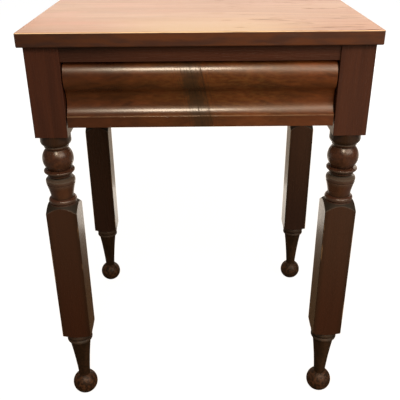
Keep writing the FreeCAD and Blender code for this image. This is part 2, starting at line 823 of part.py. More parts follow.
def front_tails():
    return tail_outlines(front_back, -S.lap_length, runner_top, side_top)


def rear_tails():
    return tail_outlines(back_front, S.drawer_back_thickness, panel_top, back_top)


def cut_tails(body, tails):
    """Sockets for the dovetails of both drawer sides."""
    for label, side in SIDES:
        sketch = sketch_of(body, f"{label}_sockets", "YZ_Plane", side * drawer_x, *tails)
        pocket(body, sketch, S.drawer_side_thickness, -side)


def build_drawer_front():
    """Core of the drawer front, moulded under its veneer, with lapped dovetail sockets."""
    front = new_body("drawer_front")
    skin_face = strip_face + S.veneer_thickness
    path = ogee(S.veneer_thickness)
    path += [(skin_face, apron_bottom), (front_back, apron_bottom), (front_back, drawer_top)]
    sketch = sketch_of(front, "profile", "YZ_Plane", -drawer_x, path)
    pad(front, sketch, drawer_x * 2, 1)
    cut_tails(front, front_tails())
    reach = side_in_x + S.panel_groove
    groove = box_path(-reach, reach, panel_bottom, panel_top)
    sketch = sketch_of(front, "groove", "XZ_Plane", front_back, groove)
    pocket(front, sketch, S.panel_groove, -1)
    return front


def build_ogee_veneer():
    """Sheet of figured veneer over the moulded part of the drawer front."""
    veneer = new_body("drawer_ogee_veneer")
    path = ogee(as_size(0)) + ogee(S.veneer_thickness)[::-1]
    pad(veneer, sketch_of(veneer, "profile", "YZ_Plane", -drawer_x, path), drawer_x * 2, 1)
    return veneer


def build_strip_veneer():
    """Sheet of figured veneer over the flat strip of the drawer front."""
    veneer = new_body("drawer_strip_veneer")
    path = box_path(strip_face, strip_face + S.veneer_thickness, apron_bottom, strip_top)
    pad(veneer, sketch_of(veneer, "profile", "YZ_Plane", -drawer_x, path), drawer_x * 2, 1)
    return veneer


def build_drawer_side(label, side):
    """Drawer side with dovetails at both ends and a groove for the bottom."""
    board = new_body(label)
    path = [(front_back, runner_top), (drawer_rear, runner_top)]
    path += [(drawer_rear, panel_top), (back_front, panel_top)]
    for tail in rear_tails():
        path += tail
    path += [(back_front, back_top), (drawer_rear, back_top)]
    path += [(drawer_rear, side_top), (front_back, side_top)]
    for tail in front_tails()[::-1]:
        path += tail[::-1]
    sketch = sketch_of(board, "outline", "YZ_Plane", side * drawer_x, path)
    pad(board, sketch, S.drawer_side_thickness, -side)
    groove = box_path(front_back - S.lap_length, drawer_rear, panel_bottom, panel_top)
    sketch = sketch_of(board, "groove", "YZ_Plane", side * side_in_x, groove)
    pocket(board, sketch, S.panel_groove, side)
    return board


def nail_places():
    spread = side_in_x * S.nail_spread_share
    depth = middle(back_front, drawer_rear)
    return [(-spread, depth), (as_size(0), depth), (spread, depth)]


def build_drawer_back():
    """Drawer back, pinned between the dovetails of the sides and nailed to the bottom."""
    back = new_body("drawer_back")
    board = box_path(-drawer_x, drawer_x, panel_top, back_top)
    sketch = sketch_of(back, "board", "XZ_Plane", back_front, board)
    pad(back, sketch, S.drawer_back_thickness, 1)
    cut_tails(back, rear_tails())
    wide = S.nail_radius + S.hole_clearance
    sketch = circles_of(back, "nail_holes", panel_top, nail_places(), wide)
    pocket(back, sketch, S.nail_length - S.panel_thickness + S.mortise_room, 1)
    return back


def build_drawer_bottom():
    """Panel that slides into the grooves from behind, under the drawer back."""
    panel = new_body("drawer_bottom")
    reach = side_in_x + S.panel_groove - S.panel_room
    nose = front_back - S.panel_groove + S.panel_room
    outline = box_path(-reach, reach, nose, drawer_rear)
    pad(panel, sketch_of(panel, "plan", "XY_Plane", panel_bottom, outline), S.panel_thickness, 1)
    wide = S.nail_radius + S.hole_clearance
    sketch = circles_of(panel, "nail_holes", panel_bottom, nail_places(), wide)
    pocket(panel, sketch, S.panel_thickness, 1)
    return panel


def build_drawer_nails():
    """Nails up through the drawer bottom into the drawer back."""
    nails = []
    for number, place in enumerate(nail_places(), start=1):
        nails.append(cylinder(f"nail_{number}", place, panel_bottom, S.nail_radius, S.nail_length))
    return group("drawer_nails", nails)


def build_table():
    """Builds every piece and returns the sub-parts."""
    pieces = [build_top()]
    for row_name, out_y in (("front", -1), ("rear", 1)):
        for side_name, out_x in SIDES:
            pieces.append(build_leg(f"leg_{row_name}_{side_name}", out_x, out_y))
    for name, side in SIDES:
        pieces.append(build_side_apron(f"apron_{name}", side))
        pieces.append(build_runner(f"drawer_runner_{name}", side))
        pieces.append(build_guide(f"drawer_guide_{name}", side))
        pieces.append(build_kicker(f"drawer_kicker_{name}", side))
        pieces.append(build_drawer_side(f"drawer_side_{name}", side))
    pieces += [build_back_apron(), build_top_rail(), build_lower_rail()]
    pieces += [build_glue_blocks(), build_top_screws()]
    pieces += [build_drawer_front(), build_ogee_veneer(), build_strip_veneer()]
    pieces += [build_drawer_back(), build_drawer_bottom(), build_drawer_nails()]
    return pieces


def check(pieces):
    """Stops on a failed object or on a piece with no valid solid."""
    doc.recompute()
    failed = [item.Name for item in doc.Objects if {"Invalid", "Error"} & set(item.State)]
    for piece in pieces:
        shape = piece.Shape
        if shape.isNull() or not shape.isValid() or not shape.Solids:
            failed.append(piece.Label)
    if failed:
        raise RuntimeError("failed: " + ", ".join(failed))


def write(pieces):
    os.makedirs("parts", exist_ok=True)
    for piece in pieces:
        piece.Shape.exportStep(f"parts/{piece.Label}.step")
        box = piece.Shape.BoundBox
        extent = f"{box.XLength:.1f} x {box.YLength:.1f} x {box.ZLength:.1f}"
        print(f"{piece.Label}: {len(piece.Shape.Solids)} solid(s), {extent} mm")


sub_parts = build_table()
check(sub_parts)
write(sub_parts)
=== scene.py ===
"""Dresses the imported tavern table.

It adds wood finishes, eased edges, slotted screws, cut nails and a studio stage. Lengths are in metres,
+Z is up and -Y is the front, where the drawer opens.
"""
import json
import math

import bmesh
import bpy
from bpy.props import FloatProperty, FloatVectorProperty, PointerProperty
from mathutils import Matrix, Quaternion, Vector

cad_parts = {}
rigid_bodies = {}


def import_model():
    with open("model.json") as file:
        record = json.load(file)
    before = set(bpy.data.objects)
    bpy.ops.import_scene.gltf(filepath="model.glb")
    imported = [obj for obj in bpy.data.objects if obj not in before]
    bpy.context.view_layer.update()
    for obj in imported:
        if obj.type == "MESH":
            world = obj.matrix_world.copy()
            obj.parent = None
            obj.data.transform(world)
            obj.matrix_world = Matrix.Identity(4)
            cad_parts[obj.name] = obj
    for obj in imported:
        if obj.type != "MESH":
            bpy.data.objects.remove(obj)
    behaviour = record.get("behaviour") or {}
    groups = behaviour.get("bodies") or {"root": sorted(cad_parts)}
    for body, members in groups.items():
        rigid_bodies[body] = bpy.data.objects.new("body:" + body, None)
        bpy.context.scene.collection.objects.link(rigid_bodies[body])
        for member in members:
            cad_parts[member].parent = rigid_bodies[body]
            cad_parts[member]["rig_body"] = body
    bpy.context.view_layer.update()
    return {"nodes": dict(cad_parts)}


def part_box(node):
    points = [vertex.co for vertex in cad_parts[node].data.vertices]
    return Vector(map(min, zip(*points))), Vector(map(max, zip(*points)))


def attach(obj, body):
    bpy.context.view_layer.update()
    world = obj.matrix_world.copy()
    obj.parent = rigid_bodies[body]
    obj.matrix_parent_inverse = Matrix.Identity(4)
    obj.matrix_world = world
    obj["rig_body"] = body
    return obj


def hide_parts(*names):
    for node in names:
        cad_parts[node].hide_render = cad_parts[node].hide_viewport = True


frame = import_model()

bl_info = {
    "name": "Tavern table finishes",
    "version": (1, 0, 0),
    "blender": (4, 5, 0),
    "location": "3D View > Sidebar > Table",
    "description": "Finishes for a mahogany tavern table with one drawer",
    "category": "Object",
}

MILLIMETRE = 0.001
FLAT_ANGLE = math.radians(1)
EASED_ANGLE = math.radians(35)
EASED_STEPS = 2
MERGE_DISTANCE = 0.002 * MILLIMETRE
FASTENER_SEED = 3
HEAD_SIDES = 40
SHANK_SIDES = 24
NAIL_SIDES = 4

# Radius of a nail's shank at both ends, as a share of the width of its head
NAIL_ROOT = 0.5
NAIL_TIP = 0.2

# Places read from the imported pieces
leg_low, leg_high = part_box("leg_front_right")
leg_axis = (leg_low + leg_high) / 2
leg_half = (leg_high.x - leg_low.x) / 2
_, top_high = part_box("table_top")
ogee_low, ogee_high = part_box("drawer_ogee_veneer")
ogee_middle = (ogee_low.z + ogee_high.z) / 2

# Boards and the way their grain runs
CASE_BOARDS = {
    "top_rail": "across",
    "apron_back": "across",
    "apron_left": "deep",
    "apron_right": "deep",
}
INNER_BOARDS = {
    "lower_rail": "across",
    "glue_blocks": "across",
    "drawer_runner_left": "deep",
    "drawer_runner_right": "deep",
    "drawer_guide_left": "deep",
    "drawer_guide_right": "deep",
    "drawer_kicker_left": "deep",
    "drawer_kicker_right": "deep",
    "drawer_side_left": "deep",
    "drawer_side_right": "deep",
    "drawer_back": "across",
    "drawer_bottom": "across",
}
BOARD_GRAINS = ("across", "deep")
LEGS = ("leg_front_left", "leg_front_right", "leg_rear_left", "leg_rear_right")
GRAIN_AXIS = {"across": 0, "deep": 1, "upright": 2}

# Figure of the woods: repeats per metre across the grain and along it
BROAD_TONE = (16, 2.2)
STREAKS = (110, 5)
PORES = (1500, 45)
PLANE_MARKS = (260, 12)
LEG_PATCHES = (60, 16)
TOP_BANDS = (26, 1.3)
TOP_CLOUDS = (15, 5)
TOP_CHECKS = (150, 14)
RIM_PATCHES = (60, 12)
EDGE_MOTTLE = (110, 22)
FEATHER_RAGS = (150, 60)
VENEER_FLECKS = (260, 90)
CRACK_SWAY = (4, 40)

# Marks that are as long as they are wide: repeats per metre
LEG_MOTTLE = 190
POLISH_WAVES = 45
TOP_WAVES = 18
VENEER_WAVES = 30
VENEER_DRIFT = 9
LIP_PATCHES = 40
CRACK_BREAKS = 60
CRAZE_BREAKS = 90
AGE_STAINS = 9
RUST_PATCHES = 420
RUST_PITS = 1800

# The veneer's figure: repeats per metre across the feather and up it, and the curve of its plumes
FIGURE_REPEATS = (14, 60)
CLOUD_REPEATS = (18, 42)
PLUME_CURVE = 0.55
PLUME_RISE = 0.12
PLUME_START = 0.002

# How far the feather drifts and frays, and how far cracks sway and fine cracks wander
FEATHER_DRIFT = 0.02
FEATHER_FRAY = 0.03
SWAY_REACH = 0.006
WANDER_REACH = 0.01

# Cracks in the veneer, from the middle of the drawer
CRACK_PLACES = (-0.0085, 0.007)

# Height of the relief, roughness before marks are added, and strength of the gloss
POLISH_RELIEF = 0.1 * MILLIMETRE
BARE_RELIEF = 0.2 * MILLIMETRE
IRON_RELIEF = 0.08 * MILLIMETRE
POLISH_ROUGHNESS = 0.2
TOP_ROUGHNESS = 0.34
VENEER_ROUGHNESS = 0.17
BARE_ROUGHNESS = 0.62
IRON_ROUGHNESS = 0.42
FULL_GLOSS = 0.5
CASE_GLOSS = 0.4
BARE_GLOSS = 0.3

# Tint of the gloss on polish and on bare wood
POLISH_TINT = (1.0, 0.87, 0.72)
BARE_TINT = (1.0, 1.0, 1.0)

# Painted shade that darkens the left of the rail, the drawer and the top's edge, and the left legs
LEFT_PAINTED_SHADE = (0.58, 0.60, 0.64)
LEFT_LEG_PAINTED_SHADE = (0.86, 0.78, 0.74)

# Stretches from left to right over which that painted shade fades
RAIL_FADE = (-0.22, -0.04)
EDGE_FADE = (-0.3, -0.02)
DRAWER_FADE = (-0.22, 0.16)

# Stretch between the left legs and the right ones, and between the front legs and the rear ones
BETWEEN_LEGS = (-0.1, 0.1)

# Where the top and the veneer change: stretches, and spots with their middle and reach
TOP_ROSY_FADE = (-0.2, 0.0)
TOP_CHECKS_RISE = (0.0, 0.1)
# Painted glow of light on the front middle of the top: its middle and reach, and where it fades towards the
# back
TOP_GLOW_SPOT = (0.01, 0.2)
TOP_GLOW_FADE = (-0.23, -0.04)
GOLD_SPOT = (0.02, 0.19)
LEFT_END = (-0.2, -0.06)
RIGHT_END = (0.0, 0.12)

# How strongly age, painted shade and painted sheen show on the legs, from 0 to 1
BLOCK_TONE = 0.7
TURNED_TONE = 0.3
FLANK_GRIME = 0.5
# Painted shade, with grime, in the turned hollows
HOLLOW_SHADE_AND_GRIME = 0.9
# Painted shadow of the stile on the drum, with grime
DRUM_SHADOW_AND_GRIME = 0.7
SAUCER_GRIME = 0.45
BALL_GRIME = 0.3
# Painted shade with grime on the feet, darker near the floor
FOOT_SHADE_AND_GRIME = 0.92
# Painted shade that darkens the rear feet further
REAR_FOOT_SHADE = 0.08
# Painted shade with grime on the taper
TAPER_SHADE_AND_GRIME = 0.2
FOOT_MOTTLE = 0.28
SHOULDER_DUSK = 0.75
FOOT_RUB = 0.23
BALL_RUB = 0.08
URN_RUB = 0.14
CORNER_RUB = 0.8
SHOULDER_MATT = 0.45
FOOT_MATT = 0.55
# Dust, and painted sheen, on the upper sides of rings and rims, on the saucer's lip and along the lunettes
LEG_DUST_AND_SHEEN = {"ring": 0.8, "urn_rim": 0.6, "saucer_lip": 0.4, "rims": 0.3, "lunette": 0.6}

# How strongly age, figure, a painted glow and painted highlights show on the top and on the veneer
TOP_BAND_TONE = 0.75
# Painted glow on the front of the top
TOP_GLOW = 0.85
TOP_CHECK_TONE = 0.8
# Wear and a painted glint along the top's upper corners
TOP_RIM_RUB_AND_GLINT = 0.8
FEATHER_TONE = 0.8
GOLD_TONE = 0.3
STRIP_DULLING = 0.4
# Wear and a painted highlight along the drawer's lip
LIP_RUB_AND_GLINT = 0.4
CRACK_TONE = 0.85
CRAZE_TONE = 0.7

# Floor aside of the table; stretches of the painted glow that reflections show behind it, and far behind it
# where it dims
FLOOR_ASIDE = (0.25, 0.9)
FLOOR_GLOW_BEHIND = (0.12, 1.0)
FLOOR_GLOW_FAR = (0.7, 1.0)
FLOOR_GLOW_FAR_LOSS = 0.45
FLOOR_CELLS = 8


def colour_setting(name, description, default):
    return FloatVectorProperty(
        name=name, description=description, subtype="COLOR", size=3, min=0, max=1, default=default
    )


def length_setting(name, description, default):
    return FloatProperty(name=name, description=description, unit="LENGTH", default=default)


def number_setting(name, description, default):
    return FloatProperty(name=name, description=description, default=default)


def angle_setting(name, description, degrees):
    return FloatProperty(name=name, description=description, subtype="ANGLE", default=math.radians(degrees))


class TableSizes(bpy.types.PropertyGroup):
    """Sizes of the details that the finishes add."""

    board_ease: length_setting("Board ease", "Rounding of the edges of aprons and rails", 0.0006)
    inner_ease: length_setting("Inner ease", "Rounding of the edges of the inner boards", 0.0004)
    arris_wear: length_setting("Arris wear", "Width of the worn line along the corners of the legs", 0.0026)
    shoulder_top: length_setting("Shoulder top", "Height where a leg's block starts to round off", 0.4372)
    shoulder_low: length_setting("Shoulder foot", "Height where the block's corners are full", 0.4228)
    shoulder_radius: length_setting("Shoulder radius", "Radius of the leg at the shoulder's top", 0.024)
    # A line of dust and painted sheen this wide runs around the shoulders
    lunette_line: length_setting("Lunette wear", "Width of the worn line around the shoulders", 0.0012)
    # Rims beyond this radius get dust and painted sheen
    rim_radius: length_setting("Rim radius", "Radius beyond which turned rims are rubbed", 0.0236)
    ball_low: length_setting("Ball foot", "Height where the ball under the stile starts", 0.496)
    stile_low: length_setting("Stile foot", "Height where the square stile ends", 0.563)
    ring_place: length_setting("Ring place", "Height of the ring above the ball", 0.542)
    urn_low: length_setting("Urn foot", "Height where the rubbed side of the urn starts", 0.4462)
    urn_high: length_setting("Urn side", "Height where the rubbed side of the urn ends", 0.4745)
    urn_rim: length_setting("Urn rim", "Height of the upper side of the urn", 0.4825)
    saucer_lip: length_setting("Saucer lip", "Height of the saucer's edge under the ball", 0.4965)
    neck: length_setting("Neck", "Height of the hollow between the saucer and the urn", 0.4862)
    # Turned hollows within these radii get painted shade with grime
    hollow_core: length_setting("Hollow core", "Radius up to which turned hollows are grimy", 0.0176)
    hollow_rim: length_setting("Hollow rim", "Radius from which turned parts are clean", 0.0206)
    ankle: length_setting("Ankle", "Height of the thinnest part of the foot", 0.0445)
    foot_top: length_setting("Foot top", "Height where the foot starts under the block", 0.157)
    foot_beads: length_setting("Foot beads", "Height where the beads of the foot end", 0.132)
    # The lip's line of wear and painted highlight
    lip_line: length_setting("Lip wear", "Width of the worn line between the ogee and the strip", 0.0013)
    feather_width: length_setting("Feather width", "Half width of the dark feather in the veneer", 0.025)
    feather_place: length_setting("Feather place", "Feather from the middle of the drawer", -0.009)
    crack_width: length_setting("Crack width", "Width of the cracks in the veneer", 0.0011)
    craze_pitch: length_setting("Craze pitch", "Spacing of the fine cracks beside the feather", 0.0046)
    feather_lean: number_setting("Feather lean", "Sideways lean of the feather, of its height", 0.21)
    head_radius: length_setting("Screw head radius", "Head of a screw", 0.0042)
    head_height: length_setting("Screw head height", "Head of a screw", 0.0025)
    shank_radius: length_setting("Screw radius", "Shank of a screw", 0.0022)
    slot_width: length_setting("Slot width", "Slot of a screw", 0.0009)
    slot_depth: length_setting("Slot depth", "Slot of a screw", 0.0011)
    nail_head: length_setting("Nail head", "Width of a cut nail's head", 0.0026)
    nail_head_height: length_setting("Nail head height", "Thickness of a cut nail's head", 0.0012)


class TableColours(bpy.types.PropertyGroup):
    """Colours of the woods and metals, under plain white light."""

    mahogany: colour_setting("Mahogany", "Polished wood of the legs and the case", (0.050, 0.0158, 0.0076))
    mahogany_dark: colour_setting("Dark mahogany", "Its dark streaks", (0.035, 0.0114, 0.0060))
    # Rubbed wood, also used for the painted highlight along the drawer's lip
    worn_edge_and_glint: colour_setting("Worn edge", "Wood where the polish is rubbed off", (0.19, 0.105, 0.048))
    # Grime, and the painted shade of the hollows, the drum and the feet
    grime_and_shade: colour_setting("Grime", "Old wax and dust in the turned hollows", (0.012, 0.0065, 0.003))
    # Dust, with painted sheen, on ledges, rims and shoulder lines
    dust: colour_setting("Dust", "Dust on the upper sides of rings and rims", (0.06, 0.045, 0.031))
    rubbed: colour_setting("Rubbed", "Warm wood of rubbed feet, balls and urns", (0.15, 0.061, 0.023))
    dusk: colour_setting("Dusk", "Darkened polish on the shoulders of the legs", (0.009, 0.0068, 0.0040))
    block_deep: colour_setting("Deep block", "Foot of a front leg's block", (0.024, 0.0068, 0.0026))
    # Painted shade: the rear legs' blocks, darker and cooler towards the bottom
    block_rear_shaded: colour_setting("Rear block", "Foot of a rear leg's block", (0.014, 0.0078, 0.0058))
    block_dull: colour_setting("Dull block", "Head of a leg's block", (0.032, 0.0150, 0.0077))
    top: colour_setting("Top", "Faded upper face of the top", (0.44, 0.198, 0.082))
    top_dark: colour_setting("Dark top", "Darker streaks of the top", (0.31, 0.115, 0.045))
    top_rosy: colour_setting("Rosy top", "Rosy clouds of the top", (0.42, 0.155, 0.075))
    # Painted glow of light on the front of the top
    top_glow: colour_setting("Yellow top", "Yellowed front of the top", (0.47, 0.275, 0.125))
    # Wear and a painted glint along the top's upper corners
    top_rim_wear_and_glint: colour_setting("Top rim", "Worn upper corners of the top", (0.72, 0.5, 0.28))
    top_edge: colour_setting("Top edge", "Edges of the top, still polished", (0.073, 0.0190, 0.0042))
    veneer: colour_setting("Veneer", "Figured veneer of the drawer front", (0.088, 0.0235, 0.0056))
    veneer_dark: colour_setting("Dark veneer", "Its dark figure", (0.041, 0.0118, 0.0034))
    veneer_red: colour_setting("Red veneer", "Its reddish clouds", (0.14, 0.036, 0.009))
    veneer_gold: colour_setting("Golden veneer", "Its golden flecks", (0.125, 0.053, 0.0125))
    feather: colour_setting("Feather", "Olive heart of the figure", (0.025, 0.0134, 0.0060))
    poplar: colour_setting("Poplar", "Unfinished wood inside", (0.40, 0.265, 0.145))
    poplar_dark: colour_setting("Dark poplar", "Its darker streaks", (0.23, 0.135, 0.066))
    core: colour_setting("Core", "Stained wood of the drawer front under its veneer", (0.13, 0.055, 0.024))
    iron: colour_setting("Iron", "Screws and nails", (0.05, 0.044, 0.04))
    rust: colour_setting("Rust", "Rust on the screws and nails", (0.12, 0.042, 0.016))
    # Painted glow of the floor behind the table, seen only in reflections
    floor_glow: colour_setting("Floor gloss", "Floor behind the table, in reflections", (1.0, 0.88, 0.73))
    floor_side: colour_setting("Floor aside", "Floor on both sides of the table", (0.14, 0.14, 0.135))
    floor: colour_setting("Floor", "Floor under the table, before its lift to white", (0.12, 0.08, 0.042))


class TableStage(bpy.types.PropertyGroup):
    """Camera, floor and world."""

    camera_place: FloatVectorProperty(
        name="Camera place",
        description="Where the camera stands",
        subtype="TRANSLATION",
        unit="LENGTH",
        default=(-0.00567, -1.11904, 0.8979),
    )
    camera_pitch: angle_setting("Pitch", "Camera up or down", -26.78)
    camera_yaw: angle_setting("Yaw", "Camera to the right", 0.26)
    camera_roll: angle_setting("Roll", "Turn about its own axis", -0.42)
    camera_lens: FloatProperty(name="Lens", description="Focal length", unit="CAMERA", default=52.9)
    floor_reach: length_setting("Floor reach", "Half the width of the floor", 9.0)
    floor_lift: number_setting("Floor lift", "How far the floor is lifted to white where it is seen", 0.962)
    world_light: number_setting("World light", "Strength of the even light", 0.2)
    world_gloss: number_setting("World gloss", "Strength of the world where gloss shows it", 0.1)
    world_seen: number_setting("World seen", "Strength of the world where it is seen", 1.0)


class Value:
    """A socket that takes part in expressions: each operator adds a Math node."""

    def __init__(self, graph, socket):
        self.graph = graph
        self.socket = socket

    def __add__(self, other):
        return self.graph.math("ADD", self, other)

    def __sub__(self, other):
        return self.graph.math("SUBTRACT", self, other)

    def __rsub__(self, other):
        return self.graph.math("SUBTRACT", other, self)

    def __mul__(self, other):
        return self.graph.math("MULTIPLY", self, other)

    def __truediv__(self, other):
        return self.graph.math("DIVIDE", self, other)

    def __pow__(self, other):
        return self.graph.math("POWER", self, other)

    def __abs__(self):
        return self.graph.math("ABSOLUTE", self, 0)

    __radd__ = __add__
    __rmul__ = __mul__


class Graph:
    """A node tree in the making."""

    def __init__(self, tree):
        self.tree = tree

    def feed(self, socket, value):
        """Sets a socket to a number or colour, or links a value to it."""
        if isinstance(value, Value):
            self.tree.links.new(value.socket, socket)
        else:
            socket.default_value = value

    def node(self, kind, settings, inputs, output=0):
        """Adds a node: first its settings, then the values or links of its sockets."""
        added = self.tree.nodes.new(kind)
        for name, value in settings.items():
            setattr(added, name, value)
        for name, value in inputs.items():
            self.feed(added.inputs[name], value)
        return Value(self, added.outputs[output])

    def math(self, operation, first, second):
        return self.node("ShaderNodeMath", {"operation": operation}, {0: first, 1: second})

    def ray(self, kind):
        """1 for rays of a kind and 0 for others."""
        return self.node("ShaderNodeLightPath", {}, {}, f"Is {kind} Ray")


class Finish(Graph):
    """A procedural material in the making."""

    def __init__(self, name):
        self.material = bpy.data.materials.new(name)
        self.material.use_nodes = True
        super().__init__(self.material.node_tree)
        self.shader = self.tree.nodes["Principled BSDF"]

    def place(self):
        return self.node("ShaderNodeTexCoord", {}, {}, "Object")

    def axes(self, vector):
        """The three parts of a vector."""
        split = self.node("ShaderNodeSeparateXYZ", {}, {0: vector}).socket.node
        return [Value(self, split.outputs[axis]) for axis in "XYZ"]

    def joined(self, *parts):
        return self.node("ShaderNodeCombineXYZ", {}, dict(enumerate(parts)))

    def stretched(self, vector, grain, across, along):
        """Coordinates that run slowly along the grain and fast across it."""
        scale = [across] * 3
        scale[GRAIN_AXIS[grain]] = along
        return self.node("ShaderNodeMapping", {}, {"Vector": vector, "Scale": scale})

    def noise(self, vector, scale, detail, roughness=0.55, distortion=0.0):
        inputs = {"Vector": vector, "Scale": scale, "Detail": detail}
        inputs.update({"Roughness": roughness, "Distortion": distortion})
        return self.node("ShaderNodeTexNoise", {}, inputs)

    def grainy(self, vector, grain, repeats, detail, roughness=0.55, distortion=0.0):
        """Noise that is drawn out along the grain; repeats are those across it and along it."""
        stretched = self.stretched(vector, grain, *repeats)
        return self.noise(stretched, 1.0, detail, roughness, distortion)

    def ramp(self, value, low, high):
        """0 at low, 1 at high, a smooth change between them and none beyond."""
        inputs = {"Value": value, "From Min": low, "From Max": high}
        return self.node("ShaderNodeMapRange", {"interpolation_type": "SMOOTHSTEP"}, inputs)

    def past(self, value, target, soft):
        """1 from the target on, rising from 0 over a soft stretch before it."""
        return self.ramp(value, target - soft, target)

    def between(self, value, low, high, soft):
        """1 between low and high, with soft ends inside them."""
        return self.past(value, low + soft, soft) * (1 - self.past(value, high, soft))

    def near(self, value, target, width):
        """1 within a quarter of the width from the target, falling to 0 at the width."""
        return 1 - self.ramp(abs(value - target), width / 4, width)

    def blend(self, factor, first, second):
        """A colour that goes from the first to the second with the factor."""
        first, second = (opaque(colour) for colour in (first, second))
        return self.node("ShaderNodeMix", {"data_type": "RGBA"}, {0: factor, 6: first, 7: second}, 2)

    def shaded(self, factor, colour, shade):
        """A colour multiplied by a painted shade as far as the factor says."""
        settings = {"data_type": "RGBA", "blend_type": "MULTIPLY"}
        return self.node("ShaderNodeMix", settings, {0: factor, 6: colour, 7: opaque(shade)}, 2)

    def gaps(self, factor, colour):
        """Shows a dull colour in place of the polish, as far as the factor says."""
        inputs = {"Base Color": opaque(colour), "Roughness": 1.0, "Specular IOR Level": 0.0}
        dull = self.node("ShaderNodeBsdfPrincipled", {}, inputs)
        polish = Value(self, self.shader.outputs["BSDF"])
        surface = self.node("ShaderNodeMixShader", {}, {0: factor, 1: polish, 2: dull})
        self.feed(self.tree.nodes["Material Output"].inputs["Surface"], surface)

    def finished(self, colour, roughness, relief, depth, gloss, tint):
        """Wires the shader and returns the material; depth is the height of the relief."""
        self.feed(self.shader.inputs["Base Color"], colour)
        self.feed(self.shader.inputs["Roughness"], roughness)
        bump = {"Height": relief, "Distance": depth, "Strength": 1.0}
        self.feed(self.shader.inputs["Normal"], self.node("ShaderNodeBump", {}, bump))
        self.shader.inputs["Specular IOR Level"].default_value = gloss
        self.shader.inputs["Specular Tint"].default_value = opaque(tint)
        return self.material


def opaque(colour):
    return colour if isinstance(colour, Value) else (*colour, 1.0)


def grain_of(finish, place, grain):
    """Broad tone, streaks and pores of a wood, each from 0 to 1."""
    broad = finish.grainy(place, grain, BROAD_TONE, 3)
    streaks = finish.grainy(place, grain, STREAKS, 5, 0.62, 0.4)
    pores = finish.grainy(place, grain, PORES, 2)
    return broad, finish.ramp(streaks, 0.3, 0.72), finish.ramp(pores, 0.56, 0.74)


def polished(finish, place, grain, colours):
    """Colour, roughness and relief of dark polished mahogany."""
    broad, streaks, pores = grain_of(finish, place, grain)
    colour = finish.blend(streaks, colours.mahogany_dark, colours.mahogany)
    colour = finish.blend(finish.ramp(broad, 0.35, 0.8) * 0.35, colour, colours.mahogany_dark)
    colour = finish.blend(pores * 0.35, colour, colours.mahogany_dark)
    roughness = POLISH_ROUGHNESS + broad * 0.14 + pores * 0.1
    relief = streaks * 0.3 - pores * 0.5 + finish.noise(place, POLISH_WAVES, 2) * 2
    return colour, roughness, relief


def case_mahogany(name, grain, colours):
    """Dark polished mahogany of the aprons and the rail."""
    finish = Finish(name)
    place = finish.place()
    colour, roughness, relief = polished(finish, place, grain, colours)
    x, _, _ = finish.axes(place)
    # Painted shade: darker on the left
    colour = finish.shaded(1 - finish.ramp(x, *RAIL_FADE), colour, LEFT_PAINTED_SHADE)
    return finish.finished(colour, roughness, relief, POLISH_RELIEF, CASE_GLOSS, POLISH_TINT)


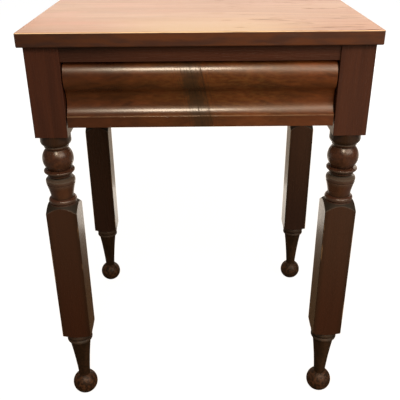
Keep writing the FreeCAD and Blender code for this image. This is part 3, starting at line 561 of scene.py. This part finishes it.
class LegParts:
    """Masks that are 1 on a part of a leg and 0 elsewhere, and the height on its block from 0 to 1."""

    def __init__(self, finish, place, sizes):
        x, y, z = finish.axes(place)
        aside = abs(abs(x) - leg_axis.x)
        ahead = abs(abs(y) + leg_axis.y)
        nearer = finish.math("MINIMUM", aside, ahead)
        farther = finish.math("MAXIMUM", aside, ahead)
        radius = (aside * aside + ahead * ahead) ** 0.5
        self.left = 1 - finish.ramp(x, *BETWEEN_LEGS)
        self.rear = finish.ramp(y, *BETWEEN_LEGS)

        # All above the block, and the turned parts between the block and the stile
        upper = finish.past(z, sizes.shoulder_top, 2 * MILLIMETRE)
        lower = 1 - upper
        below_stile = 1 - finish.past(z, sizes.stile_low, MILLIMETRE)
        self.turnings = upper * below_stile
        # The drum under the stile, which gets a painted shadow
        self.drum = finish.past(z, sizes.ring_place + 3 * MILLIMETRE, 3 * MILLIMETRE) * below_stile
        self.ring = finish.near(z, sizes.ring_place, 2 * MILLIMETRE)
        self.ball = finish.between(z, sizes.ball_low, sizes.ring_place, 4 * MILLIMETRE)
        above_neck = finish.past(z, sizes.neck + 4 * MILLIMETRE, 4 * MILLIMETRE)
        above_saucer = finish.past(z, sizes.ball_low + 2 * MILLIMETRE, 2 * MILLIMETRE)
        self.saucer = above_neck * (1 - above_saucer)
        self.saucer_lip = finish.near(z, sizes.saucer_lip, 2 * MILLIMETRE)
        # The neck's crevice, for painted shade with grime
        self.crevice = finish.near(z, sizes.neck, 2.5 * MILLIMETRE) * upper
        self.urn_rim = finish.near(z, sizes.urn_rim, 4 * MILLIMETRE)
        self.urn = finish.between(z, sizes.urn_low, sizes.urn_high, 4 * MILLIMETRE)
        # The turned hollows, for painted shade with grime
        self.hollow = upper * (1 - finish.ramp(radius, sizes.hollow_core, sizes.hollow_rim))

        # The block: its corners, its flat faces and the shoulders that cut curved lines into them
        self.block = finish.past(z, sizes.foot_top, MILLIMETRE) * lower
        self.height = finish.ramp(z, sizes.foot_top, sizes.shoulder_low)
        arris = sizes.arris_wear
        self.corner = finish.ramp(nearer, leg_half - arris, leg_half - arris / 4) * lower
        self.flank = finish.ramp(nearer, leg_half * 0.6, leg_half) * lower
        on_face = finish.ramp(farther, leg_half - MILLIMETRE, leg_half - 0.1 * MILLIMETRE)
        fall = sizes.shoulder_top - sizes.shoulder_low
        slope = (leg_half * math.sqrt(2) - sizes.shoulder_radius) / fall
        shoulder = sizes.shoulder_radius + (sizes.shoulder_top - z) * slope
        # The line around the shoulders, for dust and painted sheen
        self.lunette = on_face * finish.near(radius, shoulder, sizes.lunette_line)
        self.sloping = (1 - on_face) * finish.ramp(z, sizes.shoulder_low - fall, sizes.shoulder_low) * lower

        # The foot, its taper above the ankle, and the rims of its beads and of the turned parts
        self.footing = 1 - finish.past(z, sizes.foot_top, 5 * MILLIMETRE)
        self.taper = self.footing * finish.past(z, sizes.ankle + 4 * MILLIMETRE, 8 * MILLIMETRE)
        beads = finish.near(z, (sizes.foot_top + sizes.foot_beads) / 2, sizes.foot_top - sizes.foot_beads)
        rims = beads + upper * (1 - finish.past(z, sizes.ball_low, MILLIMETRE))
        self.rims = rims * (1 - on_face) * finish.past(radius, sizes.rim_radius, MILLIMETRE)


def leg_mahogany(colours, sizes):
    """Mahogany of the legs: rubbed corners and feet, dusty ledges with painted sheen, grime with painted
    shade in the hollows, on the drum and on the feet, and dull shoulders.
    """
    finish = Finish("leg_mahogany")
    place = finish.place()
    colour, roughness, relief = polished(finish, place, "upright", colours)
    parts = LegParts(finish, place, sizes)
    patchy = finish.ramp(finish.grainy(place, "upright", LEG_PATCHES, 4), 0.36, 0.7)
    mottled = finish.ramp(finish.noise(place, LEG_MOTTLE, 4, 0.65), 0.42, 0.62)

    # Tone of the blocks and the turned parts: the blocks darker towards the bottom, the rear ones with
    # painted shade
    tone = finish.blend(parts.rear, colours.block_deep, colours.block_rear_shaded)
    tone = finish.blend(parts.height, tone, colours.block_dull)
    colour = finish.blend(parts.block * BLOCK_TONE, colour, tone)
    colour = finish.blend(parts.turnings * TURNED_TONE, colour, colours.block_dull)

    # Grime, and painted shade in the hollows, on the drum and on the feet
    # Painted shade with grime on the feet: darker near the floor, more on the rear feet and the taper, less
    # where mottled
    foot = parts.footing * (parts.rear * REAR_FOOT_SHADE + FOOT_SHADE_AND_GRIME - mottled * FOOT_MOTTLE)
    foot = foot + parts.taper * TAPER_SHADE_AND_GRIME
    # Painted shadow on the drum; grime on the saucer and in patches on the ball
    rings = parts.drum * DRUM_SHADOW_AND_GRIME + parts.saucer * SAUCER_GRIME
    rings = rings + parts.ball * (1 - mottled) * BALL_GRIME
    # Painted shade with grime in the hollows and the neck
    hollows = parts.hollow * HOLLOW_SHADE_AND_GRIME + parts.crevice
    # Grime, and painted shade in the hollows, on the drum and on the feet, whichever is strongest
    dirt_and_shade = finish.math("MAXIMUM", parts.flank * FLANK_GRIME, hollows)
    dirt_and_shade = finish.math("MAXIMUM", dirt_and_shade, rings + foot)
    colour = finish.blend(dirt_and_shade, colour, colours.grime_and_shade)
    # Painted shade: the left legs darker, save their turned parts
    colour = finish.shaded(parts.left * (1 - parts.turnings), colour, LEFT_LEG_PAINTED_SHADE)
    colour = finish.blend(parts.sloping * (patchy * 0.2 + SHOULDER_DUSK), colour, colours.dusk)

    # Dust with painted sheen on ledges, rims and shoulder lines, and wood that is rubbed
    dust = sum(getattr(parts, part) * share for part, share in LEG_DUST_AND_SHEEN.items())
    colour = finish.blend(dust, colour, colours.dust)
    rub = (parts.footing - parts.taper * 0.8) * mottled * FOOT_RUB + parts.ball * mottled * BALL_RUB
    rub = rub + (parts.urn + parts.taper * 0.6) * patchy * URN_RUB
    colour = finish.blend(rub, colour, colours.rubbed)
    bare = parts.corner * finish.ramp(patchy, 0.4, 1.0) * CORNER_RUB
    colour = finish.blend(bare, colour, colours.worn_edge_and_glint)

    finish.gaps(parts.sloping * SHOULDER_MATT + parts.footing * FOOT_MATT, colour)
    roughness = roughness + parts.hollow * 0.2 + parts.crevice * 0.3 + foot * 0.22
    roughness = roughness + parts.sloping * 0.35 - parts.ball * 0.05
    return finish.finished(colour, roughness, relief, POLISH_RELIEF, CASE_GLOSS, POLISH_TINT)


def faded_mahogany(colours):
    """The top: faded, clouded and checked on its upper face, with a painted glow at its front and a painted
    glint with wear on its upper corners, dark along its edges.
    """
    finish = Finish("top_faded_mahogany")
    place = finish.place()
    x, y, z = finish.axes(place)
    broad, streaks, pores = grain_of(finish, place, "across")

    # Upper face
    bands = finish.ramp(finish.grainy(place, "across", TOP_BANDS, 4, 0.6, 0.3), 0.48, 0.7)
    clouds = finish.ramp(finish.grainy(place, "across", TOP_CLOUDS, 3), 0.4, 0.7)
    # Painted glow: the front middle of the top lighter
    glowing = finish.near(x, *TOP_GLOW_SPOT) * (1 - finish.ramp(y, *TOP_GLOW_FADE))
    checked = finish.ramp(finish.grainy(place, "across", TOP_CHECKS, 2), 0.635, 0.7)
    checked = checked * finish.ramp(x, *TOP_CHECKS_RISE)
    colour = finish.blend(streaks * 0.8, colours.top_dark, colours.top)
    colour = finish.blend(bands * TOP_BAND_TONE, colour, colours.top_dark)
    colour = finish.blend(pores * 0.3, colour, colours.top_dark)
    colour = finish.blend(clouds * (1 - finish.ramp(x, *TOP_ROSY_FADE) * 0.6), colour, colours.top_rosy)
    colour = finish.blend(glowing * TOP_GLOW, colour, colours.top_glow)
    colour = finish.blend(checked * TOP_CHECK_TONE, colour, colours.mahogany)

    # Edges, and upper corners with wear and a painted glint
    edge = 1 - finish.ramp(z, top_high.z - 1.6 * MILLIMETRE, top_high.z - 0.3 * MILLIMETRE)
    mottle = finish.ramp(finish.grainy(place, "across", EDGE_MOTTLE, 4), 0.36, 0.64)
    edge_colour = finish.blend(streaks * 0.3 + mottle * 0.7, colours.mahogany_dark, colours.top_edge)
    # Painted shade: the top's edge darker on the left
    edge_colour = finish.shaded(1 - finish.ramp(x, *EDGE_FADE), edge_colour, LEFT_PAINTED_SHADE)
    colour = finish.blend(edge, colour, edge_colour)
    # The upper corners: patches of wear with a painted glint
    rim = finish.near(z, top_high.z - 0.9 * MILLIMETRE, 0.8 * MILLIMETRE)
    rim = rim * finish.ramp(finish.grainy(place, "across", RIM_PATCHES, 3), 0.3, 0.6)
    colour = finish.blend(rim * TOP_RIM_RUB_AND_GLINT, colour, colours.top_rim_wear_and_glint)

    roughness = TOP_ROUGHNESS + broad * 0.14 + pores * 0.08 + checked * 0.4
    relief = streaks * 0.4 - pores * 0.5 + finish.noise(place, TOP_WAVES, 2) * 2
    return finish.finished(colour, roughness, relief, POLISH_RELIEF, FULL_GLOSS, POLISH_TINT)


def crotch_veneer(colours, sizes):
    """Veneer cut where the trunk forks: clouds that curve away from a dark, leaning feather, and cracks."""
    finish = Finish("crotch_veneer_polished")
    place = finish.place()
    x, _, z = finish.axes(place)
    drift = finish.noise(place, VENEER_DRIFT, 3)
    ragged = finish.grainy(place, "upright", FEATHER_RAGS, 4, 0.7)

    # Sideways from the feather, which leans
    upright = x + (z - ogee_middle) * sizes.feather_lean
    across = upright - sizes.feather_place + (drift - 0.5) * FEATHER_DRIFT
    away = abs(across) + (ragged - 0.5) * FEATHER_FRAY
    feather = 1 - finish.ramp(away, sizes.feather_width * 0.1, sizes.feather_width)

    # Figure
    aside, up = FIGURE_REPEATS
    plume = z + (abs(across) + PLUME_START) ** PLUME_CURVE * PLUME_RISE
    figure = finish.noise(finish.joined(abs(across) * aside, plume * up, drift), 1.0, 5, 0.6, 0.5)
    aside, up = CLOUD_REPEATS
    clouds = finish.noise(finish.joined(across * aside, z * up, drift * 2), 1.0, 4, 0.6)
    flecks = finish.grainy(place, "across", VENEER_FLECKS, 3)
    colour = finish.blend(finish.ramp(figure, 0.32, 0.66), colours.veneer_dark, colours.veneer)
    colour = finish.blend(finish.ramp(clouds, 0.5, 0.72) * 0.6, colour, colours.veneer_red)
    colour = finish.blend(finish.ramp(clouds, 0.48, 0.28) * 0.55, colour, colours.veneer_dark)
    colour = finish.blend(finish.ramp(flecks, 0.5, 0.75) * 0.35, colour, colours.veneer_dark)
    golden = finish.ramp(flecks, 0.6, 0.3) * GOLD_TONE + 0.08
    golden = golden * finish.near(x, *GOLD_SPOT)
    colour = finish.blend(golden, colour, colours.veneer_gold)
    strip = 1 - finish.past(z, ogee_low.z, MILLIMETRE)
    colour = finish.blend(strip * STRIP_DULLING, colour, colours.mahogany)
    # Painted shade: the veneer darker on the left
    colour = finish.shaded(1 - finish.ramp(x, *DRAWER_FADE), colour, LEFT_PAINTED_SHADE)
    colour = finish.blend(feather * FEATHER_TONE, colour, colours.feather)

    # Rubbed lip between the ogee and the strip, with a painted highlight
    lip = finish.near(z, ogee_low.z, sizes.lip_line)
    lip = lip * finish.ramp(finish.noise(place, LIP_PATCHES, 3), 0.2, 0.6)
    colour = finish.blend(lip * LIP_RUB_AND_GLINT, colour, colours.worn_edge_and_glint)

    # Cracks, and finer ones beside the feather
    sway = (finish.grainy(place, "upright", CRACK_SWAY, 3) - 0.5) * SWAY_REACH
    crack = sum(finish.near(upright + sway, middle, sizes.crack_width) for middle in CRACK_PLACES)
    crack = crack * finish.ramp(finish.noise(place, CRACK_BREAKS, 2), 0.3, 0.46)
    wander = upright + sway + (ragged - 0.5) * WANDER_REACH
    beside = finish.math("PINGPONG", wander / sizes.craze_pitch, 0.5)
    craze = (1 - finish.ramp(beside, 0.0, 0.2)) * finish.near(across, 0.0, 1.6 * sizes.feather_width)
    craze = craze * finish.ramp(finish.noise(place, CRAZE_BREAKS, 2), 0.38, 0.5)
    finish.gaps(finish.math("MAXIMUM", crack * CRACK_TONE, craze * CRAZE_TONE), colours.feather)

    ends = finish.ramp(x, *RIGHT_END) + 1 - finish.ramp(x, *LEFT_END)
    roughness = VENEER_ROUGHNESS + drift * 0.07 + ends * 0.05
    relief = finish.noise(place, VENEER_WAVES, 3) * 1.6 + figure * 0.2 - crack * 0.5
    return finish.finished(colour, roughness, relief, POLISH_RELIEF, FULL_GLOSS, POLISH_TINT)


def bare_wood(name, grain, light, dark, colours):
    """Unfinished wood with age stains and plane marks."""
    finish = Finish(name)
    place = finish.place()
    broad, streaks, pores = grain_of(finish, place, grain)
    stains = finish.ramp(finish.noise(place, AGE_STAINS, 4), 0.5, 0.8)
    colour = finish.blend(streaks, dark, light)
    colour = finish.blend(stains * 0.5, colour, dark)
    colour = finish.blend(pores * 0.25, colour, colours.core)
    marks = finish.grainy(place, grain, PLANE_MARKS, 2)
    relief = streaks * 0.8 - pores * 0.6 + marks
    roughness = BARE_ROUGHNESS + broad * 0.2
    return finish.finished(colour, roughness, relief, BARE_RELIEF, BARE_GLOSS, BARE_TINT)


def rusty_iron(colours):
    """Dark iron with patches of rust."""
    finish = Finish("rusty_iron")
    place = finish.place()
    patches = finish.ramp(finish.noise(place, RUST_PATCHES, 4), 0.45, 0.66)
    pits = finish.noise(place, RUST_PITS, 3)
    colour = finish.blend(patches, colours.iron, colours.rust)
    finish.feed(finish.shader.inputs["Metallic"], 0.85 - patches * 0.75)
    roughness = IRON_ROUGHNESS + patches * 0.35
    return finish.finished(colour, roughness, pits, IRON_RELIEF, FULL_GLOSS, BARE_TINT)


def new_piece(name, mesh, material, node):
    """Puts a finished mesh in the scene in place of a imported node, on that node's body."""
    piece = bpy.data.objects.new(name, mesh)
    bpy.context.scene.collection.objects.link(piece)
    mesh.materials.clear()
    mesh.materials.append(material)
    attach(piece, frame["nodes"][node]["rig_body"])
    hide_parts(node)
    return piece


def merged(node):
    """The node's shape with the corners of its triangles joined."""
    work = bmesh.new()
    work.from_mesh(frame["nodes"][node].data)
    bmesh.ops.remove_doubles(work, verts=work.verts, dist=MERGE_DISTANCE)
    return work


def islands(node):
    """Low and high corners of each separate solid in a node."""
    work = merged(node)
    boxes = []
    left = set(work.verts)
    while left:
        group, edge = set(), [left.pop()]
        while edge:
            vert = edge.pop()
            group.add(vert)
            near = [link.other_vert(vert) for link in vert.link_edges]
            edge += [other for other in near if other in left]
            left.difference_update(near)
        places = [vert.co for vert in group]
        low, high = (Vector([pick(part) for part in zip(*places)]) for pick in (min, max))
        boxes.append((low, high))
    work.free()
    return boxes


def held(name, mesh):
    """An object that holds a mesh while a modifier works on it."""
    holder = bpy.data.objects.new(name, mesh)
    bpy.context.scene.collection.objects.link(holder)
    return holder


def baked(holder, name):
    """The holder's mesh with its modifiers, and the holder removed."""
    graph = bpy.context.evaluated_depsgraph_get()
    mesh = bpy.data.meshes.new_from_object(holder.evaluated_get(graph))
    mesh.name = name
    bpy.data.objects.remove(holder)
    return mesh


def smooth(mesh):
    """Smooth shading that keeps the hard edges."""
    mesh.polygons.foreach_set("use_smooth", [True] * len(mesh.polygons))
    mesh.set_sharp_from_angle(angle=EASED_ANGLE)


def eased(node, ease):
    """A copy of a node's shape with one face for each flat side and with its hard edges rounded."""
    work = merged(node)
    bmesh.ops.dissolve_limit(work, angle_limit=FLAT_ANGLE, verts=work.verts, edges=work.edges)
    mesh = bpy.data.meshes.new(f"{node}_plain")
    work.to_mesh(mesh)
    work.free()
    for layer in ("custom_normal", "sharp_edge", "sharp_face"):
        if layer in mesh.attributes:
            mesh.attributes.remove(mesh.attributes[layer])
    smooth(mesh)
    holder = held(f"{node}_holder", mesh)
    bevel = holder.modifiers.new("ease", "BEVEL")
    bevel.width = ease
    bevel.segments = EASED_STEPS
    bevel.limit_method = "ANGLE"
    bevel.angle_limit = EASED_ANGLE
    bevel.harden_normals = True
    return baked(holder, f"{node}_mesh")


def dress_boards(boards, ease, finishes):
    """Eased copies of some boards, each finished along its grain."""
    for node, grain in boards.items():
        new_piece(f"{node}_board", eased(node, ease), finishes[grain], node)


def paint(node, material):
    """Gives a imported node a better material."""
    materials = frame["nodes"][node].data.materials
    materials.clear()
    materials.append(material)


class Pattern(Graph):
    """A Geometry Nodes tree that sets a fastener on each point of a mesh."""

    def __init__(self, name, lengths):
        super().__init__(bpy.data.node_groups.new(name, "GeometryNodeTree"))
        sockets = self.tree.interface
        sockets.new_socket("Points", in_out="INPUT", socket_type="NodeSocketGeometry")
        for label in lengths:
            sockets.new_socket(label, in_out="INPUT", socket_type="NodeSocketFloat")
        sockets.new_socket("Metal", in_out="INPUT", socket_type="NodeSocketMaterial")
        sockets.new_socket("Fasteners", in_out="OUTPUT", socket_type="NodeSocketGeometry")
        self.given = self.tree.nodes.new("NodeGroupInput")

    def input(self, label):
        return Value(self, self.given.outputs[label])

    def solid(self, kind, inputs, lift):
        """A plain solid lifted along its axis."""
        mesh = self.node(kind, {}, inputs, "Mesh")
        move = self.node("ShaderNodeCombineXYZ", {}, {2: lift})
        return self.node("GeometryNodeTransform", {}, {"Geometry": mesh, "Translation": move})

    def joined(self, *meshes):
        join = self.tree.nodes.new("GeometryNodeJoinGeometry")
        for mesh in meshes:
            self.tree.links.new(mesh.socket, join.inputs[0])
        return Value(self, join.outputs[0])

    def finish(self, fastener):
        """Sets the fastener on every point, turned by chance about its axis."""
        full = {"data_type": "FLOAT_VECTOR"}
        turn = {0: (0, 0, 0), 1: (0, 0, 2 * math.pi), "Seed": FASTENER_SEED}
        turned = self.node("FunctionNodeRandomValue", full, turn)
        placed = {"Points": self.input("Points"), "Instance": fastener, "Rotation": turned}
        spread = self.node("GeometryNodeInstanceOnPoints", {}, placed)
        real = self.node("GeometryNodeRealizeInstances", {}, {0: spread})
        metal = {"Geometry": real, "Material": self.input("Metal")}
        output = self.tree.nodes.new("NodeGroupOutput")
        self.feed(output.inputs[0], self.node("GeometryNodeSetMaterial", {}, metal))
        return self.tree


def screw_pattern():
    """Slotted screws that stand on their heads."""
    lengths = ("Length", "Head radius", "Head height", "Radius", "Slot width", "Slot depth")
    pattern = Pattern("slotted_screws", lengths)
    given = pattern.input
    head_radius, head_height = given("Head radius"), given("Head height")
    disc = {"Vertices": HEAD_SIDES, "Radius": head_radius, "Depth": head_height}
    head = pattern.solid("GeometryNodeMeshCylinder", disc, head_height / 2)

    # A bar longer than the head is wide, half sunk in it, cuts the slot
    bar = {0: head_radius * 3, 1: given("Slot width"), 2: given("Slot depth") * 2}
    bar_size = pattern.node("ShaderNodeCombineXYZ", {}, bar)
    slot = pattern.solid("GeometryNodeMeshCube", {"Size": bar_size}, 0.0)
    cut = {"Mesh 1": head, "Mesh 2": slot}
    slotted = pattern.node("GeometryNodeMeshBoolean", {"operation": "DIFFERENCE"}, cut)

    rod = {"Vertices": SHANK_SIDES, "Radius": given("Radius"), "Depth": given("Length") - head_height}
    shank = pattern.solid("GeometryNodeMeshCylinder", rod, (given("Length") + head_height) / 2)
    return pattern.finish(pattern.joined(slotted, shank))


def nail_pattern():
    """Cut nails with square heads and tapered shanks, head down."""
    pattern = Pattern("cut_nails", ("Length", "Head width", "Head height"))
    given = pattern.input
    width, height = given("Head width"), given("Head height")
    plate = pattern.node("ShaderNodeCombineXYZ", {}, {0: width, 1: width, 2: height})
    head = pattern.solid("GeometryNodeMeshCube", {"Size": plate}, height / 2)
    spike = {"Vertices": NAIL_SIDES, "Radius Top": width * NAIL_TIP, "Radius Bottom": width * NAIL_ROOT}
    spike["Depth"] = given("Length") - height
    shank = pattern.solid("GeometryNodeMeshCone", spike, height)
    return pattern.finish(pattern.joined(head, shank))


def fastened(node, tree, settings, name):
    """The mesh of a pattern of fasteners, one on the lower end of each of the node's solids."""
    boxes = islands(node)
    feet = [((low.x + high.x) / 2, (low.y + high.y) / 2, low.z) for low, high in boxes]
    points = bpy.data.meshes.new(f"{name}_points")
    points.from_pydata(feet, [], [])
    holder = held(f"{name}_holder", points)
    modifier = holder.modifiers.new("fasteners", "NODES")
    modifier.node_group = tree
    settings = {"Length": boxes[0][1].z - boxes[0][0].z, **settings}
    for item in tree.interface.items_tree:
        if item.in_out == "INPUT" and item.name in settings:
            modifier[item.identifier] = settings[item.name]
    mesh = baked(holder, f"{name}_mesh")
    smooth(mesh)
    return mesh


class DressTop(bpy.types.Operator):
    """Finish the top as faded mahogany with dark edges"""

    bl_idname = "table.dress_top"
    bl_label = "Top"

    def execute(self, context):
        paint("table_top", faded_mahogany(context.scene.table_colours))
        return {"FINISHED"}


class DressLegs(bpy.types.Operator):
    """Finish the turned legs as dark mahogany with rubbed corners"""

    bl_idname = "table.dress_legs"
    bl_label = "Legs"

    def execute(self, context):
        material = leg_mahogany(context.scene.table_colours, context.scene.table_sizes)
        for leg in LEGS:
            paint(leg, material)
        return {"FINISHED"}


class DressCase(bpy.types.Operator):
    """Ease and finish the aprons and the rail above the drawer"""

    bl_idname = "table.dress_case"
    bl_label = "Aprons and rail"

    def execute(self, context):
        colours = context.scene.table_colours
        finishes = {}
        for grain in BOARD_GRAINS:
            finishes[grain] = case_mahogany(f"case_mahogany_{grain}", grain, colours)
        dress_boards(CASE_BOARDS, context.scene.table_sizes.board_ease, finishes)
        return {"FINISHED"}


class DressInside(bpy.types.Operator):
    """Ease and finish what the drawer runs on, and the drawer's sides, back and bottom"""

    bl_idname = "table.dress_inside"
    bl_label = "Inner boards"

    def execute(self, context):
        colours = context.scene.table_colours
        finishes = {}
        light, dark = colours.poplar, colours.poplar_dark
        for grain in BOARD_GRAINS:
            finishes[grain] = bare_wood(f"bare_poplar_{grain}", grain, light, dark, colours)
        ease = context.scene.table_sizes.inner_ease
        dress_boards(INNER_BOARDS, ease, finishes)
        return {"FINISHED"}


class DressDrawerFront(bpy.types.Operator):
    """Ease the drawer front, and finish its core and its figured veneer"""

    bl_idname = "table.dress_drawer_front"
    bl_label = "Drawer front"

    def execute(self, context):
        colours = context.scene.table_colours
        sizes = context.scene.table_sizes
        core = bare_wood("stained_core", "across", colours.core, colours.mahogany_dark, colours)
        mesh = eased("drawer_front", sizes.inner_ease)
        new_piece("drawer_front_core", mesh, core, "drawer_front")
        veneer = crotch_veneer(colours, sizes)
        for node in ("drawer_ogee_veneer", "drawer_strip_veneer"):
            new_piece(f"{node}_sheet", eased(node, sizes.inner_ease), veneer, node)
        return {"FINISHED"}


class DressFasteners(bpy.types.Operator):
    """Set slotted screws and cut nails of rusty iron"""

    bl_idname = "table.dress_fasteners"
    bl_label = "Screws and nails"

    def execute(self, context):
        sizes = context.scene.table_sizes
        metal = rusty_iron(context.scene.table_colours)
        screw = {
            "Head radius": sizes.head_radius,
            "Head height": sizes.head_height,
            "Radius": sizes.shank_radius,
            "Slot width": sizes.slot_width,
            "Slot depth": sizes.slot_depth,
            "Metal": metal,
        }
        nail = {"Head width": sizes.nail_head, "Head height": sizes.nail_head_height, "Metal": metal}
        screws = fastened("top_screws", screw_pattern(), screw, "slotted_screws")
        new_piece("slotted_screws", screws, metal, "top_screws")
        nails = fastened("drawer_nails", nail_pattern(), nail, "cut_nails")
        new_piece("cut_nails", nails, metal, "drawer_nails")
        return {"FINISHED"}


# Lamps: place, target, width and height, radiance, colour, whether gloss shows them
LAMPS = {
    "window": ((-0.15, -2.35, 3.1), (0, -0.2, 0.6), (0.7, 0.7), 34, (1.0, 0.95, 0.86), True),
    "front_wash": ((0.85, -2.4, 3.2), (0, -0.2, 0.6), (3.8, 2.4), 2.4, (1.0, 0.86, 0.72), True),
    "right_window": ((2.0, -2.1, 2.5), (0, -0.2, 0.5), (2.8, 1.7), 4.3, (1.0, 0.96, 0.95), True),
    "right_fill": ((2.0, -2.0, 1.2), (0, -0.2, 0.5), (2.2, 1.6), 3.4, (1.0, 0.96, 0.94), False),
    "warm_wall": ((0.75, -2.6, 1.65), (0, -0.2, 0.6), (1.1, 1.3), 1.0, (1.0, 0.63, 0.33), True),
    "sunny_floor": ((0.0, 0.62, 0.004), (0, 0.62, 1.0), (1.6, 0.3), 1.1, (1.0, 0.93, 0.84), True),
    "back_panel": ((0.4, 3.3, 1.5), (0, 0, 0.9), (4.0, 1.9), 2.8, (1.0, 0.89, 0.76), True),
    "back_fill": ((0.8, 3.2, 0.6), (0, 0.2, 0.45), (2.6, 0.9), 9, (1.0, 0.95, 0.9), False),
    "left_fill": ((-3.0, 0.9, 0.6), (-0.3, 0.2, 0.45), (2.0, 0.9), 9, (1.0, 0.95, 0.9), False),
}


def add_lamp(scene, name, place, target, size, radiance, colour, glossy):
    """A rectangular lamp of even radiance that the camera doesn't see."""
    light = bpy.data.lights.new(name, "AREA")
    light.shape = "RECTANGLE"
    light.size, light.size_y = size
    light.energy = radiance * math.pi * size[0] * size[1]
    light.color = colour
    lamp = bpy.data.objects.new(name, light)
    scene.collection.objects.link(lamp)
    turn = (Vector(target) - Vector(place)).to_track_quat("-Z", "Y")
    lamp.matrix_world = Matrix.Translation(place) @ turn.to_matrix().to_4x4()
    lamp.visible_camera = False
    lamp.visible_glossy = glossy


def add_camera(scene, stage):
    """A camera at the photograph's viewing angle."""
    camera = bpy.data.objects.new("camera", bpy.data.cameras.new("camera"))
    scene.collection.objects.link(camera)
    pitch, yaw = stage.camera_pitch, stage.camera_yaw
    forward = Vector((math.sin(yaw) * math.cos(pitch), math.cos(yaw) * math.cos(pitch), math.sin(pitch)))
    turn = forward.to_track_quat("-Z", "Y") @ Quaternion((0, 0, 1), stage.camera_roll)
    camera.matrix_world = Matrix.Translation(stage.camera_place) @ turn.to_matrix().to_4x4()
    camera.data.lens = stage.camera_lens
    scene.camera = camera


def seen(graph):
    """1 for what the camera sees itself or through glass."""
    return graph.math("MAXIMUM", graph.ray("Camera"), graph.ray("Transmission"))


def floor_material(colours, stage):
    """Pale floor: lifted to white where it is seen, and with a painted glow behind the table where gloss
    shows it.
    """
    finish = Finish("pale_floor")
    finish.shader.inputs["Roughness"].default_value = 1.0
    finish.shader.inputs["Specular IOR Level"].default_value = 0.0
    x, y, _ = finish.axes(finish.place())
    colour = finish.blend(finish.ramp(abs(x), *FLOOR_ASIDE), colours.floor, colours.floor_side)
    finish.feed(finish.shader.inputs["Base Color"], colour)
    # Painted glow behind the table, dimmer far behind, seen only in reflections
    behind = finish.ramp(y, *FLOOR_GLOW_BEHIND) * (1 - finish.ramp(y, *FLOOR_GLOW_FAR) * FLOOR_GLOW_FAR_LOSS)
    lift = finish.blend(finish.ray("Glossy") * behind, (0.0, 0.0, 0.0), colours.floor_glow)
    finish.feed(finish.shader.inputs["Emission Color"], finish.blend(seen(finish), lift, (1.0, 1.0, 1.0)))
    finish.shader.inputs["Emission Strength"].default_value = stage.floor_lift
    return finish.material


def add_floor(scene, colours, stage):
    """A wide floor that belongs to the stage."""
    work = bmesh.new()
    bmesh.ops.create_grid(work, x_segments=FLOOR_CELLS, y_segments=FLOOR_CELLS, size=stage.floor_reach)
    mesh = bpy.data.meshes.new("floor")
    work.to_mesh(mesh)
    work.free()
    mesh.materials.append(floor_material(colours, stage))
    floor = bpy.data.objects.new("floor", mesh)
    scene.collection.objects.link(floor)


def add_world(scene, stage):
    """Even light, white where it is seen."""
    dim, shiny, white = stage.world_light, stage.world_gloss, stage.world_seen
    scene.world = bpy.data.worlds.new("studio")
    scene.world.use_nodes = True
    graph = Graph(scene.world.node_tree)
    background = graph.tree.nodes["Background"]
    background.inputs["Color"].default_value = (1.0, 1.0, 1.0, 1.0)
    strength = seen(graph) * (white - dim) + graph.ray("Glossy") * (shiny - dim) + dim
    graph.feed(background.inputs["Strength"], strength)


class SetStage(bpy.types.Operator):
    """Set the floor, the lamps, the world and the camera"""

    bl_idname = "table.set_stage"
    bl_label = "Stage"

    def execute(self, context):
        scene = context.scene
        add_floor(scene, scene.table_colours, scene.table_stage)
        add_world(scene, scene.table_stage)
        for name, lamp in LAMPS.items():
            add_lamp(scene, name, *lamp)
        add_camera(scene, scene.table_stage)
        scene.view_settings.view_transform = "Standard"
        return {"FINISHED"}


OPERATORS = (DressTop, DressLegs, DressCase, DressInside, DressDrawerFront, DressFasteners, SetStage)


class TablePanel(bpy.types.Panel):
    """Lists the finishes of the table"""

    bl_idname = "TABLE_PT_finishes"
    bl_label = "Tavern table"
    bl_space_type = "VIEW_3D"
    bl_region_type = "UI"
    bl_category = "Table"

    def draw(self, context):
        for operator in OPERATORS:
            self.layout.operator(operator.bl_idname)


CLASSES = (TableSizes, TableColours, TableStage, *OPERATORS, TablePanel)


def register():
    for item in CLASSES:
        bpy.utils.register_class(item)
    bpy.types.Scene.table_sizes = PointerProperty(type=TableSizes)
    bpy.types.Scene.table_colours = PointerProperty(type=TableColours)
    bpy.types.Scene.table_stage = PointerProperty(type=TableStage)


def unregister():
    del bpy.types.Scene.table_stage
    del bpy.types.Scene.table_colours
    del bpy.types.Scene.table_sizes
    for item in reversed(CLASSES):
        bpy.utils.unregister_class(item)


def main():
    register()
    bpy.ops.table.dress_top()
    bpy.ops.table.dress_legs()
    bpy.ops.table.dress_case()
    bpy.ops.table.dress_inside()
    bpy.ops.table.dress_drawer_front()
    bpy.ops.table.dress_fasteners()
    bpy.ops.table.set_stage()


if __name__ == "__main__":
    main()
